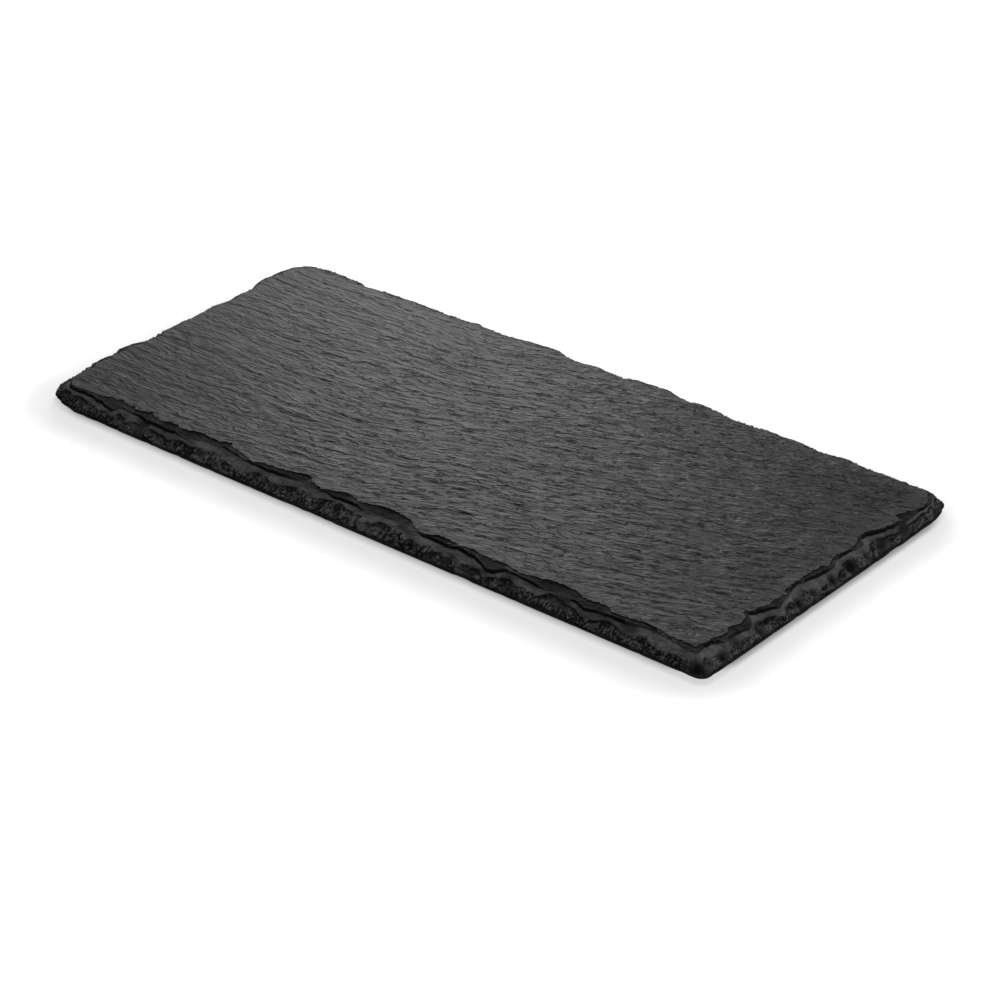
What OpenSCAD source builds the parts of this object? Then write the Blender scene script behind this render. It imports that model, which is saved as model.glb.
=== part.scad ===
// Slate serving board: one riven slate slab with hewn edges, on four self-adhesive rubber pads.
// The long edges run along X and the front long edge faces -Y.
// The origin is under the middle of the board, on the surface that the pads rest on.

/* [Board] */
// Length of the slab at its underside, along the long edges
board_l = 300; // [220:1:400]
// Width of the slab at its underside, along the short edges
board_w = 145; // [100:1:250]
// Thickness of the slate
slate_t = 6; // [5:0.1:10]

/* [Hewn edges] */
// Width of the band all round that the hewing took off, seen from above
hewn_w = 10; // [7:0.1:12]
// Height of the plain rim round the underside
rim_h = 0.5; // [0.2:0.05:0.8]
// Deepest nick in the rim round the underside
nick_w = 0.4; // [0:0.05:0.8]
// Depth of the step at the edge of the crust
crust_h = 1.1; // [0.5:0.05:1.3]
// Depth of the step at the edge of the thin leaf on the crust
leaf_h = 0.4; // [0.2:0.05:0.6]
// How far a step leans back over its height
step_lean = 0.15; // [0.05:0.05:0.3]
// Depth of the hollow in the middle of a scar
scar_h = 0.5; // [0.1:0.05:0.7]
// Height of the shoulder between the rough band and the scars
shoulder_h = 0.35; // [0:0.05:0.6]
// How far the rough band rises and falls
rough_h = 0.3; // [0:0.05:0.4]

/* [Corners] */
// Radius of the underside at the front right corner
corner_front_right_r = 4; // [2:0.5:16]
// Radius of the underside at the back right corner
corner_back_right_r = 4; // [2:0.5:16]
// Radius of the underside at the back left corner
corner_back_left_r = 12; // [2:0.5:16]
// Radius of the underside at the front left corner
corner_front_left_r = 5; // [2:0.5:16]
// Radius of the crust's rim at the front right corner
crust_front_right_r = 1.5; // [1:0.5:16]
// Radius of the crust's rim at the back right corner
crust_back_right_r = 3; // [1:0.5:16]
// Radius of the crust's rim at the back left corner
crust_back_left_r = 15; // [1:0.5:16]
// Radius of the crust's rim at the front left corner
crust_front_left_r = 8; // [1:0.5:16]

/* [Pads] */
// Diameter of a rubber pad
pad_d = 12; // [8:0.5:20]
// Thickness of a rubber pad
pad_t = 1.8; // [1:0.1:4]
// Chamfer round both faces of a pad
pad_chamfer = 0.25; // [0.1:0.05:0.4]
// Distance from a short edge of the slab to the middle of a pad
pad_end = 25; // [18:0.5:40]
// Distance from a long edge of the slab to the middle of a pad
pad_side = 25; // [18:0.5:40]
// Thickness of a pad's adhesive disc
adhesive_t = 0.2; // [0.1:0.05:0.4]
// How far an adhesive disc stays inside the flat of its pad
adhesive_inset = 0.1; // [0:0.05:0.5]

/* [Hidden] */
$fn = 64;

underside_z = pad_t + adhesive_t;
pad_x = board_l / 2 - pad_end;
pad_y = board_w / 2 - pad_side;

// The four edges run anticlockwise from above: front, right, back, left.
// A corner follows each edge, in the same order.
edge_lengths = [board_l, board_w, board_l, board_w];
edge_directions = [[1, 0], [0, 1], [-1, 0], [0, -1]];
corner_radii = [corner_front_right_r, corner_back_right_r, corner_back_left_r, corner_front_left_r];
crust_radii = [crust_front_right_r, crust_back_right_r, crust_back_left_r, crust_front_left_r];
edge_counts = [92, 42, 92, 42];
corner_count = 11;

// Inset of the crust's rim, where it would run if the edge were hewn evenly
rim_share = 0.75;
// Length of a corner's own stretch, in hewn widths past the largest radius
corner_reach_share = 1.5;
corner_reach = max(concat(corner_radii, crust_radii)) + corner_reach_share * hewn_w;
// Fall of the ledge that a broken leaf leaves, of its width
ledge_fall_share = 0.08;
// Narrowest ledge, of the hewn width
ledge_share = 0.02;
// Inset of the even line inside which the top face is one flat field, of the hewn width
face_share = 1.35;

// Each leaf row is a place along the edge, of its length from its middle; the inset of the
// leaf's rim, of the hewn width; and the depth of its step, of the leaf's step.
front_leaf_shares = [
    [-0.470, 0.59, 0.5], [-0.457, 0.63, 0.5], [-0.437, 0.69, 0.5], [-0.408, 0.75, 0.5],
    [-0.405, 0.85, 0.6], [-0.380, 0.95, 0.6], [-0.373, 0.83, 0.5], [-0.357, 0.95, 0.7],
    [-0.353, 0.76, 1.3], [-0.343, 0.85, 1.3], [-0.333, 0.97, 1.0], [-0.323, 0.86, 0.5],
    [-0.307, 0.72, 0.4], [-0.298, 0.89, 1.1], [-0.285, 0.94, 1.0], [-0.280, 0.76, 0.6],
    [-0.267, 0.87, 1.0], [-0.250, 1.05, 1.1], [-0.233, 0.93, 1.1], [-0.220, 0.97, 1.3],
    [-0.207, 1.16, 0.8], [-0.197, 0.90, 0.4], [-0.183, 0.84, 0.4], [-0.155, 0.62, 0.4],
    [-0.150, 0.73, 0.7], [-0.133, 0.85, 1.0], [-0.120, 0.86, 0.9], [-0.103, 1.00, 1.2],
    [-0.093, 1.13, 1.3], [-0.085, 1.17, 1.2], [-0.077, 1.03, 0.8], [-0.072, 0.86, 0.9],
    [-0.053, 0.73, 0.9], [-0.043, 0.87, 1.2], [-0.033, 1.00, 1.1], [-0.020, 1.09, 0.8],
    [-0.012, 0.96, 0.4], [0.000, 0.88, 0.7], [0.017, 1.07, 1.0], [0.030, 1.14, 1.1],
    [0.053, 1.17, 1.2], [0.067, 1.09, 0.6], [0.077, 0.92, 0.4], [0.090, 0.72, 0.4],
    [0.100, 0.63, 0.5], [0.105, 0.72, 1.4], [0.117, 0.87, 1.8], [0.130, 0.90, 1.4],
    [0.147, 0.80, 0.5], [0.167, 0.85, 0.9], [0.190, 0.81, 0.9], [0.213, 0.85, 0.6],
    [0.233, 0.73, 0.5], [0.253, 0.80, 0.9], [0.270, 0.92, 1.1], [0.287, 1.03, 1.2],
    [0.307, 1.00, 1.0], [0.320, 0.78, 0.9], [0.337, 0.87, 0.8], [0.353, 0.85, 0.6],
    [0.360, 0.70, 0.7], [0.370, 0.71, 1.0], [0.387, 0.78, 1.2], [0.400, 0.85, 1.4],
    [0.417, 0.87, 1.5], [0.420, 0.79, 0.6], [0.437, 0.73, 0.5], [0.467, 0.71, 0.8]];
right_leaf_shares = [
    [-0.434, 0.85, 0.9], [-0.414, 0.80, 0.9], [-0.386, 0.70, 0.8], [-0.359, 0.62, 0.6],
    [-0.348, 0.74, 0.7], [-0.331, 0.72, 0.6], [-0.310, 0.60, 0.5], [-0.297, 0.60, 0.5],
    [-0.276, 0.84, 0.6], [-0.266, 0.92, 0.8], [-0.259, 0.82, 0.8], [-0.241, 0.76, 0.9],
    [-0.221, 0.70, 0.7], [-0.207, 0.62, 0.6], [-0.166, 0.60, 0.6], [-0.148, 0.53, 0.6],
    [-0.138, 0.70, 0.9], [-0.110, 0.75, 1.0], [-0.083, 0.77, 0.9], [-0.062, 0.81, 1.0],
    [-0.028, 0.75, 1.0], [0.000, 0.70, 0.9], [0.014, 0.55, 0.7], [0.041, 0.65, 0.7],
    [0.055, 0.75, 1.0], [0.069, 0.74, 1.1], [0.093, 0.61, 0.8], [0.110, 0.60, 0.6],
    [0.138, 0.68, 0.6], [0.155, 0.77, 0.7], [0.169, 0.90, 0.9], [0.193, 0.81, 0.8],
    [0.214, 0.67, 0.7], [0.234, 0.58, 0.7], [0.262, 0.46, 0.6], [0.290, 0.45, 0.6],
    [0.300, 0.70, 0.8], [0.331, 0.52, 0.7], [0.352, 0.40, 0.6], [0.366, 0.35, 0.5],
    [0.386, 0.40, 0.6], [0.407, 0.52, 0.6], [0.421, 0.65, 0.6]];
back_leaf_shares = [
    [-0.470, 0.86, 0.6], [-0.450, 0.87, 0.7], [-0.430, 0.83, 0.6], [-0.407, 0.82, 0.7],
    [-0.398, 0.91, 1.0], [-0.383, 0.86, 0.8], [-0.363, 0.73, 0.7], [-0.347, 0.78, 0.8],
    [-0.328, 0.92, 1.1], [-0.310, 0.87, 0.9], [-0.290, 0.75, 0.7], [-0.270, 0.83, 0.9],
    [-0.247, 0.71, 0.7], [-0.230, 0.87, 1.0], [-0.223, 0.90, 1.1], [-0.213, 0.82, 0.8],
    [-0.203, 0.88, 1.0], [-0.195, 0.83, 0.9], [-0.177, 0.68, 0.8], [-0.143, 0.64, 0.7],
    [-0.137, 0.75, 1.1], [-0.113, 0.68, 0.9], [-0.103, 0.58, 0.7], [-0.083, 0.58, 0.8],
    [-0.075, 0.66, 0.9], [-0.050, 0.61, 0.8], [-0.037, 0.85, 1.3], [-0.023, 0.76, 0.9],
    [0.000, 0.73, 0.7], [0.020, 0.79, 0.9], [0.037, 0.84, 1.1], [0.050, 0.73, 0.9],
    [0.067, 0.63, 0.6], [0.093, 0.66, 0.7], [0.103, 0.72, 0.9], [0.120, 0.73, 0.8],
    [0.143, 0.82, 0.9], [0.157, 0.90, 1.2], [0.170, 0.84, 0.9], [0.190, 0.79, 0.8],
    [0.203, 0.88, 1.0], [0.213, 0.85, 0.9], [0.228, 1.01, 1.3], [0.240, 0.93, 0.9],
    [0.267, 0.90, 0.7], [0.277, 0.96, 1.0], [0.292, 0.84, 0.7], [0.302, 0.89, 0.8],
    [0.317, 1.01, 1.1], [0.340, 0.92, 0.8], [0.360, 0.97, 0.9], [0.377, 1.13, 1.3],
    [0.393, 1.09, 1.0], [0.413, 0.93, 0.7], [0.443, 1.02, 0.8], [0.455, 1.09, 0.8]];
left_leaf_shares = [
    [-0.386, 0.59, 0.6], [-0.366, 0.62, 0.7], [-0.345, 0.64, 0.7], [-0.303, 0.54, 0.8],
    [-0.283, 0.57, 0.9], [-0.262, 0.62, 0.9], [-0.234, 0.79, 1.1], [-0.214, 0.82, 0.9],
    [-0.197, 0.74, 0.8], [-0.172, 0.76, 0.7], [-0.145, 0.81, 0.9], [-0.124, 0.72, 0.8],
    [-0.090, 0.64, 0.8], [-0.069, 0.68, 0.9], [-0.048, 0.74, 1.0], [0.000, 0.76, 0.8],
    [0.028, 0.71, 0.7], [0.055, 0.73, 0.8], [0.090, 0.75, 0.9], [0.110, 0.86, 1.2],
    [0.131, 0.90, 1.0], [0.159, 0.88, 0.8], [0.172, 0.80, 0.7], [0.193, 0.82, 0.9],
    [0.207, 0.70, 1.1], [0.228, 0.70, 1.0], [0.248, 0.78, 0.8], [0.283, 0.75, 0.7],
    [0.303, 0.79, 0.9], [0.314, 0.73, 1.1], [0.331, 0.75, 1.0], [0.348, 0.85, 0.9],
    [0.366, 0.94, 0.8], [0.400, 0.92, 0.7], [0.424, 0.86, 0.7], [0.448, 0.90, 0.6]];

// Each crust row is a place along the edge; the inset of the crust's rim, of the hewn width;
// and the depth of its step, of the crust's step.
front_crust_shares = [
    [-0.470, 0.54, 1.1], [-0.455, 0.60, 1.3], [-0.429, 0.61, 1.3], [-0.402, 0.51, 1.3],
    [-0.379, 0.39, 1.2], [-0.372, 0.61, 0.7], [-0.355, 0.63, 0.8], [-0.329, 0.59, 1.2],
    [-0.309, 0.51, 1.4], [-0.279, 0.60, 1.2], [-0.259, 0.48, 0.6], [-0.240, 0.65, 0.4],
    [-0.222, 0.81, 0.7], [-0.205, 0.84, 0.9], [-0.185, 0.71, 0.9], [-0.162, 0.59, 0.9],
    [-0.152, 0.57, 0.9], [-0.139, 0.65, 1.2], [-0.119, 0.73, 1.3], [-0.099, 0.83, 1.0],
    [-0.083, 0.95, 0.5], [-0.073, 0.80, 0.5], [-0.062, 0.72, 0.6], [-0.049, 0.78, 1.0],
    [-0.035, 0.73, 1.2], [-0.009, 0.75, 1.3], [0.008, 0.71, 1.0], [0.021, 0.60, 0.6],
    [0.035, 0.66, 0.4], [0.065, 0.74, 0.4], [0.085, 0.64, 0.4], [0.098, 0.58, 0.9],
    [0.121, 0.72, 1.3], [0.141, 0.70, 1.2], [0.168, 0.69, 1.3], [0.188, 0.51, 1.2],
    [0.198, 0.33, 1.4], [0.208, 0.43, 1.5], [0.218, 0.64, 1.1], [0.238, 0.58, 1.0],
    [0.265, 0.57, 1.1], [0.278, 0.58, 0.8], [0.291, 0.66, 0.6], [0.308, 0.59, 1.0],
    [0.331, 0.45, 1.3], [0.351, 0.54, 1.0], [0.371, 0.53, 1.3], [0.381, 0.63, 1.2],
    [0.401, 0.71, 0.7], [0.431, 0.66, 0.6], [0.455, 0.54, 0.8], [0.465, 0.50, 0.6]];
right_crust_shares = [
    [-0.430, 0.80, 1.2], [-0.407, 0.75, 1.2], [-0.388, 0.60, 1.2], [-0.378, 0.45, 0.8],
    [-0.340, 0.47, 1.1], [-0.323, 0.40, 1.1], [-0.312, 0.24, 0.8], [-0.283, 0.45, 0.5],
    [-0.262, 0.82, 1.0], [-0.243, 0.75, 1.5], [-0.230, 0.65, 1.5], [-0.216, 0.50, 1.3],
    [-0.195, 0.35, 1.0], [-0.161, 0.42, 0.6], [-0.141, 0.50, 0.7], [-0.119, 0.70, 1.1],
    [-0.090, 0.73, 0.9], [-0.062, 0.65, 1.2], [-0.034, 0.57, 1.3], [0.000, 0.51, 1.3],
    [0.028, 0.48, 1.0], [0.052, 0.62, 0.7], [0.067, 0.72, 1.2], [0.094, 0.58, 1.0],
    [0.124, 0.46, 0.6], [0.152, 0.50, 0.7], [0.172, 0.86, 1.3], [0.198, 0.78, 1.5],
    [0.219, 0.63, 1.4], [0.253, 0.50, 1.2], [0.281, 0.40, 1.1], [0.310, 0.31, 0.9],
    [0.343, 0.36, 1.1], [0.370, 0.31, 1.2], [0.398, 0.38, 1.1], [0.421, 0.52, 0.9]];
back_crust_shares = [
    [-0.465, 0.80, 0.8], [-0.438, 0.76, 1.1], [-0.410, 0.70, 1.2], [-0.396, 0.80, 1.0],
    [-0.368, 0.62, 0.9], [-0.331, 0.78, 1.2], [-0.300, 0.68, 1.3], [-0.262, 0.66, 0.9],
    [-0.226, 0.76, 1.1], [-0.190, 0.72, 1.3], [-0.148, 0.54, 1.0], [-0.134, 0.66, 0.8],
    [-0.098, 0.40, 1.2], [-0.056, 0.46, 1.1], [-0.036, 0.72, 0.9], [0.004, 0.58, 1.2],
    [0.040, 0.70, 0.9], [0.072, 0.45, 1.2], [0.112, 0.56, 1.0], [0.160, 0.76, 1.1],
    [0.196, 0.60, 1.3], [0.229, 0.84, 0.9], [0.262, 0.74, 1.1], [0.295, 0.72, 1.3],
    [0.318, 0.80, 0.9], [0.352, 0.80, 1.2], [0.380, 1.05, 1.0], [0.415, 0.82, 1.2],
    [0.452, 0.78, 0.8]];
left_crust_shares = [
    [-0.400, 0.50, 0.9], [-0.352, 0.42, 1.2], [-0.310, 0.36, 1.1], [-0.268, 0.44, 1.0],
    [-0.228, 0.66, 1.2], [-0.180, 0.62, 1.1], [-0.140, 0.68, 0.8], [-0.094, 0.54, 1.2],
    [-0.050, 0.66, 0.9], [-0.004, 0.66, 1.2], [0.048, 0.62, 1.0], [0.088, 0.66, 1.1],
    [0.128, 0.80, 1.2], [0.170, 0.72, 0.8], [0.203, 0.54, 1.3], [0.236, 0.58, 1.0],
    [0.276, 0.66, 1.2], [0.316, 0.58, 0.8], [0.354, 0.82, 1.1], [0.405, 0.82, 1.2],
    [0.440, 0.80, 0.9]];

// Each band row is a place along the edge, and how far up the slope the rough band reaches.
front_band_shares = [
    [-0.437, 0.68], [-0.403, 0.59], [-0.383, 0.66], [-0.357, 0.56], [-0.343, 0.50],
    [-0.320, 0.59], [-0.297, 0.59], [-0.263, 0.64], [-0.230, 0.56], [-0.217, 0.66],
    [-0.187, 0.44], [-0.170, 0.47], [-0.133, 0.64], [-0.110, 0.59], [-0.077, 0.53],
    [-0.047, 0.68], [-0.027, 0.90], [-0.018, 0.70], [0.010, 0.64], [0.030, 0.59],
    [0.037, 0.70], [0.063, 0.70], [0.080, 0.52], [0.130, 0.59], [0.147, 0.44],
    [0.170, 0.61], [0.190, 0.55], [0.230, 0.59], [0.257, 0.52], [0.283, 0.76],
    [0.307, 0.70], [0.323, 0.50], [0.350, 0.47], [0.363, 0.64], [0.377, 0.47],
    [0.427, 0.44], [0.460, 0.48]];
right_band_shares = [
    [-0.440, 0.68], [-0.410, 0.55], [-0.372, 0.48], [-0.330, 0.50], [-0.285, 0.68],
    [-0.245, 0.52], [-0.200, 0.46], [-0.160, 0.56], [-0.115, 0.44], [-0.070, 0.58],
    [-0.030, 0.47], [0.010, 0.42], [0.050, 0.50], [0.085, 0.68], [0.130, 0.48],
    [0.170, 0.56], [0.210, 0.66], [0.250, 0.48], [0.300, 0.44], [0.350, 0.56],
    [0.400, 0.50], [0.430, 0.58]];
back_band_shares = [
    [-0.450, 0.55], [-0.405, 0.66], [-0.365, 0.48], [-0.320, 0.60], [-0.275, 0.46],
    [-0.230, 0.68], [-0.180, 0.52], [-0.140, 0.62], [-0.090, 0.45], [-0.045, 0.64],
    [0.000, 0.50], [0.045, 0.58], [0.090, 0.44], [0.135, 0.62], [0.185, 0.50],
    [0.230, 0.66], [0.280, 0.48], [0.330, 0.60], [0.375, 0.70], [0.420, 0.52],
    [0.455, 0.58]];
left_band_shares = [
    [-0.420, 0.58], [-0.360, 0.48], [-0.300, 0.64], [-0.240, 0.50], [-0.180, 0.60],
    [-0.110, 0.46], [-0.040, 0.62], [0.030, 0.48], [0.100, 0.66], [0.160, 0.52],
    [0.220, 0.60], [0.280, 0.46], [0.340, 0.62], [0.410, 0.50]];

// Places of the ridges between the scars, along each edge
front_ridge_shares = [-0.463, -0.393, -0.353, -0.320, -0.267, -0.230, -0.157, -0.103, -0.060,
    -0.023, 0.060, 0.097, 0.187, 0.213, 0.240, 0.273, 0.313, 0.347, 0.373, 0.413, 0.467];
right_ridge_shares = [-0.455, -0.395, -0.310, -0.270, -0.185, -0.140, -0.045, 0.045, 0.110,
    0.165, 0.230, 0.305, 0.375, 0.430];
back_ridge_shares = [-0.465, -0.398, -0.332, -0.262, -0.226, -0.160, -0.136, -0.070, -0.036,
    0.038, 0.098, 0.158, 0.206, 0.229, 0.292, 0.318, 0.378, 0.460];
left_ridge_shares = [-0.430, -0.345, -0.230, -0.150, -0.045, 0.040, 0.125, 0.200, 0.260,
    0.350, 0.440];

// Each taper row is a place along the edge, and the inset of the underside's rim there, of the
// hewn width: two corners were struck off aslant, and two bites were taken out of the rim.
front_taper_shares = [[-0.480, 0.34], [-0.465, 0.19], [-0.452, 0.12], [-0.433, 0]];
right_taper_shares = [[0.386, 0], [0.420, 0.08], [0.450, 0.17], [0.472, 0.27]];
back_taper_shares = [[-0.487, 0.27], [-0.470, 0.12], [-0.450, 0], [0.360, 0], [0.384, 0.20], [0.405, 0]];
left_taper_shares = [[0.345, 0], [0.368, 0.14], [0.400, 0.08], [0.440, 0.20], [0.466, 0.34]];

leaf_shares = [front_leaf_shares, right_leaf_shares, back_leaf_shares, left_leaf_shares];
crust_shares = [front_crust_shares, right_crust_shares, back_crust_shares, left_crust_shares];
band_shares = [front_band_shares, right_band_shares, back_band_shares, left_band_shares];
ridge_shares = [front_ridge_shares, right_ridge_shares, back_ridge_shares, left_ridge_shares];
taper_shares = [front_taper_shares, right_taper_shares, back_taper_shares, left_taper_shares];
inset_column = 1;
depth_column = 2;

function mix(a, b, t) = a + (b - a) * t;
function along(edge) = edge_directions[edge];
function outward(edge) = [along(edge)[1], -along(edge)[0]];
function next_edge(edge) = (edge + 1) % 4;
function from_middle(edge, place) = along(edge) * place * edge_lengths[edge];

// A point of an edge, at a place along it and an inset from the underside's outline
function edge_point(edge, place, inset) =
    from_middle(edge, place) + outward(edge) * (edge_lengths[next_edge(edge)] / 2 - inset);

// A corner's path at one inset: its radius, and the straight stretch before the arc
function corner_radius(edge, inset) =
    mix(corner_radii[edge], crust_radii[edge], min(1, inset / (rim_share * hewn_w)));
function corner_run(edge, inset) = corner_reach - inset - corner_radius(edge, inset);
function corner_length(edge, inset) =
    2 * corner_run(edge, inset) + PI / 2 * corner_radius(edge, inset);

// How far round a corner's arc a share of its path lies, from 0 before it to 1 past it
function corner_turn(edge, share, inset) =
    let (past = share * corner_length(edge, inset) - corner_run(edge, inset))
    max(0, min(1, past / (PI / 2 * corner_radius(edge, inset))));
function corner_outward(edge, turn) =
    outward(edge) * cos(90 * turn) + outward(next_edge(edge)) * sin(90 * turn);

// How far a share of the path lies before and after the arc, for the edges' own tables
function corner_before(edge, share, inset) =
    max(0, corner_run(edge, inset) - share * corner_length(edge, inset));
function corner_after(edge, share, inset) = corner_before(edge, 1 - share, inset);

// A point of a corner's path at an inset
function corner_point(edge, share, inset) =
    let (radius = corner_radius(edge, inset),
        reach = radius + inset,
        centre = outward(edge) * (edge_lengths[next_edge(edge)] / 2 - reach)
            + along(edge) * (edge_lengths[edge] / 2 - reach),
        before = along(edge) * -corner_before(edge, share, inset),
        after = along(next_edge(edge)) * corner_after(edge, share, inset))
    centre + before + after + corner_outward(edge, corner_turn(edge, share, inset)) * radius;

// A station is an edge, a place along it, a share of the corner after it, or -1 on the edge
corner_place_shares = [for (edge = [0 : 3]) 0.5 - corner_reach / edge_lengths[edge]];
stations = [for (edge = [0 : 3]) each concat(
    [for (i = [0 : edge_counts[edge]])
        [edge, mix(-corner_place_shares[edge], corner_place_shares[edge], i / edge_counts[edge]), -1]],
    [for (i = [1 : corner_count]) [edge, 0, i / (corner_count + 1)]])];

// What a table says at a station, blended from one edge to the next round a corner.
// In the corner's stretch a place runs on towards the arc that the corner has at an inset.
rim_in = rim_share * hewn_w;
function on_corner(station) = station[2] > 0;
function column(table, place, index) = lookup(place, [for (row = table) [row[0], row[index]]]);
function run_place(edge, corner, inset, left) =
    corner_place_shares[edge] + (corner_run(corner, inset) - left) / edge_lengths[edge];
function place_before(station, inset) =
    run_place(station[0], station[0], inset, corner_before(station[0], station[2], inset));
function place_after(station, inset) =
    -run_place(next_edge(station[0]), station[0], inset,
        corner_after(station[0], station[2], inset));
function table_value(tables, station, index, inset = rim_in) =
    on_corner(station)
        ? mix(column(tables[station[0]], place_before(station, inset), index),
            column(tables[next_edge(station[0])], place_after(station, inset), index),
            corner_turn(station[0], station[2], inset))
        : column(tables[station[0]], station[1], index);

// How far a place lies into the scar between its two ridges: 0 at a ridge, 1 in the middle
function hollow(edge, place) =
    let (ridges = ridge_shares[edge],
        low = max([for (ridge = concat([-1], ridges)) if (ridge <= place) ridge]),
        high = min([for (ridge = concat([1], ridges)) if (ridge > place) ridge]),
        t = (place - low) / (high - low))
    low < ridges[0] || high > ridges[len(ridges) - 1] ? 0 : 4 * t * (1 - t);
function station_hollow(station) =
    on_corner(station) ? 0 : hollow(station[0], station[1]);

// The nick in the rim and the unevenness of the rough band, by station
rough_seed = 7;
rough_values = rands(-1, 1, len(stations), rough_seed);
nick_values = [for (v = rands(-1, 1, len(stations), rough_seed + 1)) max(0, v)];

// The edge's profile at a station: inset and height of each ring, from the underside up
function profile(index) =
    let (station = stations[index],
        taper = hewn_w * table_value(taper_shares, station, inset_column, 0),
        nick = taper + nick_w * nick_values[index],
        leaf_step = leaf_h * table_value(leaf_shares, station, depth_column),
        crust_step = crust_h * table_value(crust_shares, station, depth_column),
        leaf_wish = hewn_w * table_value(leaf_shares, station, inset_column),
        crust_wish = hewn_w * table_value(crust_shares, station, inset_column),
        ledge = ledge_share * hewn_w,
        crust_in = min(crust_wish, leaf_wish - 2 * step_lean - ledge),
        leaf_in = leaf_wish - step_lean,
        ledge_in_z = slate_t - leaf_step,
        ledge_out_z = ledge_in_z - ledge_fall_share * (leaf_in - crust_in - step_lean),
        crust_z = ledge_out_z - crust_step,
        band = table_value(band_shares, station, inset_column),
        band_in = mix(nick, crust_in, band),
        band_z = mix(rim_h, crust_z, band) + shoulder_h,
        hollow_z = scar_h * station_hollow(station))
    [[nick, 0],
     [nick, rim_h],
     [mix(nick, band_in, 0.5), mix(rim_h, band_z, 0.5) + rough_h * rough_values[index]],
     [band_in, band_z],
     [mix(band_in, crust_in, 0.5), mix(band_z, crust_z, 0.5) - hollow_z],
     [crust_in, crust_z],
     [crust_in + step_lean, ledge_out_z],
     [leaf_in, ledge_in_z],
     [leaf_wish, slate_t],
     [face_share * hewn_w, slate_t]];

profiles = [for (index = [0 : len(stations) - 1]) profile(index)];
ring_count = len(profiles[0]);

function slab_point(index, ring) =
    let (station = stations[index],
        inset = profiles[index][ring][0],
        height = profiles[index][ring][1],
        place = on_corner(station)
            ? corner_point(station[0], station[2], inset)
            : edge_point(station[0], station[1], inset))
    [place[0], place[1], underside_z + height];

module slate_slab() {
    count = len(stations);
    last_ring = (ring_count - 1) * count;
    underside_hub = ring_count * count;
    top_hub = underside_hub + 1;
    points = concat(
        [for (ring = [0 : ring_count - 1]) for (index = [0 : count - 1]) slab_point(index, ring)],
        [[0, 0, underside_z], [0, 0, underside_z + slate_t]]);
    underside = [for (index = [0 : count - 1]) [underside_hub, index, (index + 1) % count]];
    top = [for (index = [0 : count - 1])
        [top_hub, last_ring + (index + 1) % count, last_ring + index]];
    sides = [for (ring = [0 : ring_count - 2]) for (index = [0 : count - 1])
        let (low = ring * count, next = (index + 1) % count)
        each [[low + index, low + count + index, low + count + next],
              [low + index, low + count + next, low + next]]];
    color([0.17, 0.17, 0.17]) polyhedron(points = points, faces = concat(underside, top, sides));
}

// A round pad under the slab, with its faces chamfered
module foot(side_x, side_y) {
    flat_r = pad_d / 2 - pad_chamfer;
    color([0.08, 0.08, 0.08]) translate([side_x * pad_x, side_y * pad_y, 0])
        rotate_extrude() polygon([[0, 0], [flat_r, 0], [pad_d / 2, pad_chamfer],
            [pad_d / 2, pad_t - pad_chamfer], [flat_r, pad_t], [0, pad_t]]);
}

// The adhesive disc between a pad and the slab
module adhesive(side_x, side_y) {
    color([0.75, 0.75, 0.72]) translate([side_x * pad_x, side_y * pad_y, pad_t])
        cylinder(h = adhesive_t, r = pad_d / 2 - pad_chamfer - adhesive_inset);
}

module foot_front_left() foot(-1, -1);
module foot_front_right() foot(1, -1);
module foot_back_left() foot(-1, 1);
module foot_back_right() foot(1, 1);
module adhesive_front_left() adhesive(-1, -1);
module adhesive_front_right() adhesive(1, -1);
module adhesive_back_left() adhesive(-1, 1);
module adhesive_back_right() adhesive(1, 1);

slate_slab();
foot_front_left();
foot_front_right();
foot_back_left();
foot_back_right();
adhesive_front_left();
adhesive_front_right();
adhesive_back_left();
adhesive_back_right();
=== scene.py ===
"""Slate serving board: a riven slab with hewn edges, on four rubber pads held by adhesive discs.

The long edges run along X and the front long edge faces -Y. Everything is in metres.
"""

import math

import bpy
import numpy as np
from bpy.props import FloatProperty, FloatVectorProperty, IntProperty, PointerProperty
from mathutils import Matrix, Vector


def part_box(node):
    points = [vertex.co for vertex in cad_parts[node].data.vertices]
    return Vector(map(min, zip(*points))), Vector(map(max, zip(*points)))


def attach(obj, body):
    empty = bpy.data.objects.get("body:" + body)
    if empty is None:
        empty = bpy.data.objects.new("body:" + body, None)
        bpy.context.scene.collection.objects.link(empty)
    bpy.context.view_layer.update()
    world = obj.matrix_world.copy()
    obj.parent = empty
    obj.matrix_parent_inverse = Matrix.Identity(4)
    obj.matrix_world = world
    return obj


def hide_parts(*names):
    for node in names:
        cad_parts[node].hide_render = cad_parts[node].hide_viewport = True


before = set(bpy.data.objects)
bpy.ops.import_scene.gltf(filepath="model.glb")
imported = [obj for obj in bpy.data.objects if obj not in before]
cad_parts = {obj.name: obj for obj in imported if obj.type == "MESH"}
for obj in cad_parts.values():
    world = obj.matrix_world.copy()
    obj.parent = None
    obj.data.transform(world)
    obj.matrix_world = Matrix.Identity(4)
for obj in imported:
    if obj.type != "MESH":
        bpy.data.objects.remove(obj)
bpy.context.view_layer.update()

bl_info = {
    "name": "Slate serving board",
    "version": (1, 0, 0),
    "blender": (4, 5, 0),
    "location": "View3D > Sidebar > Slate board",
    "description": "Builds a riven slate serving board with hewn edges on four rubber pads",
    "category": "Add Mesh",
}

MM = 0.001
SLAB_LOW, SLAB_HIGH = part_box("slate_slab")
PAD_LOW, PAD_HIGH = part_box("foot_front_left")
PLACES = ("front_left", "front_right", "back_left", "back_right")

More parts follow.
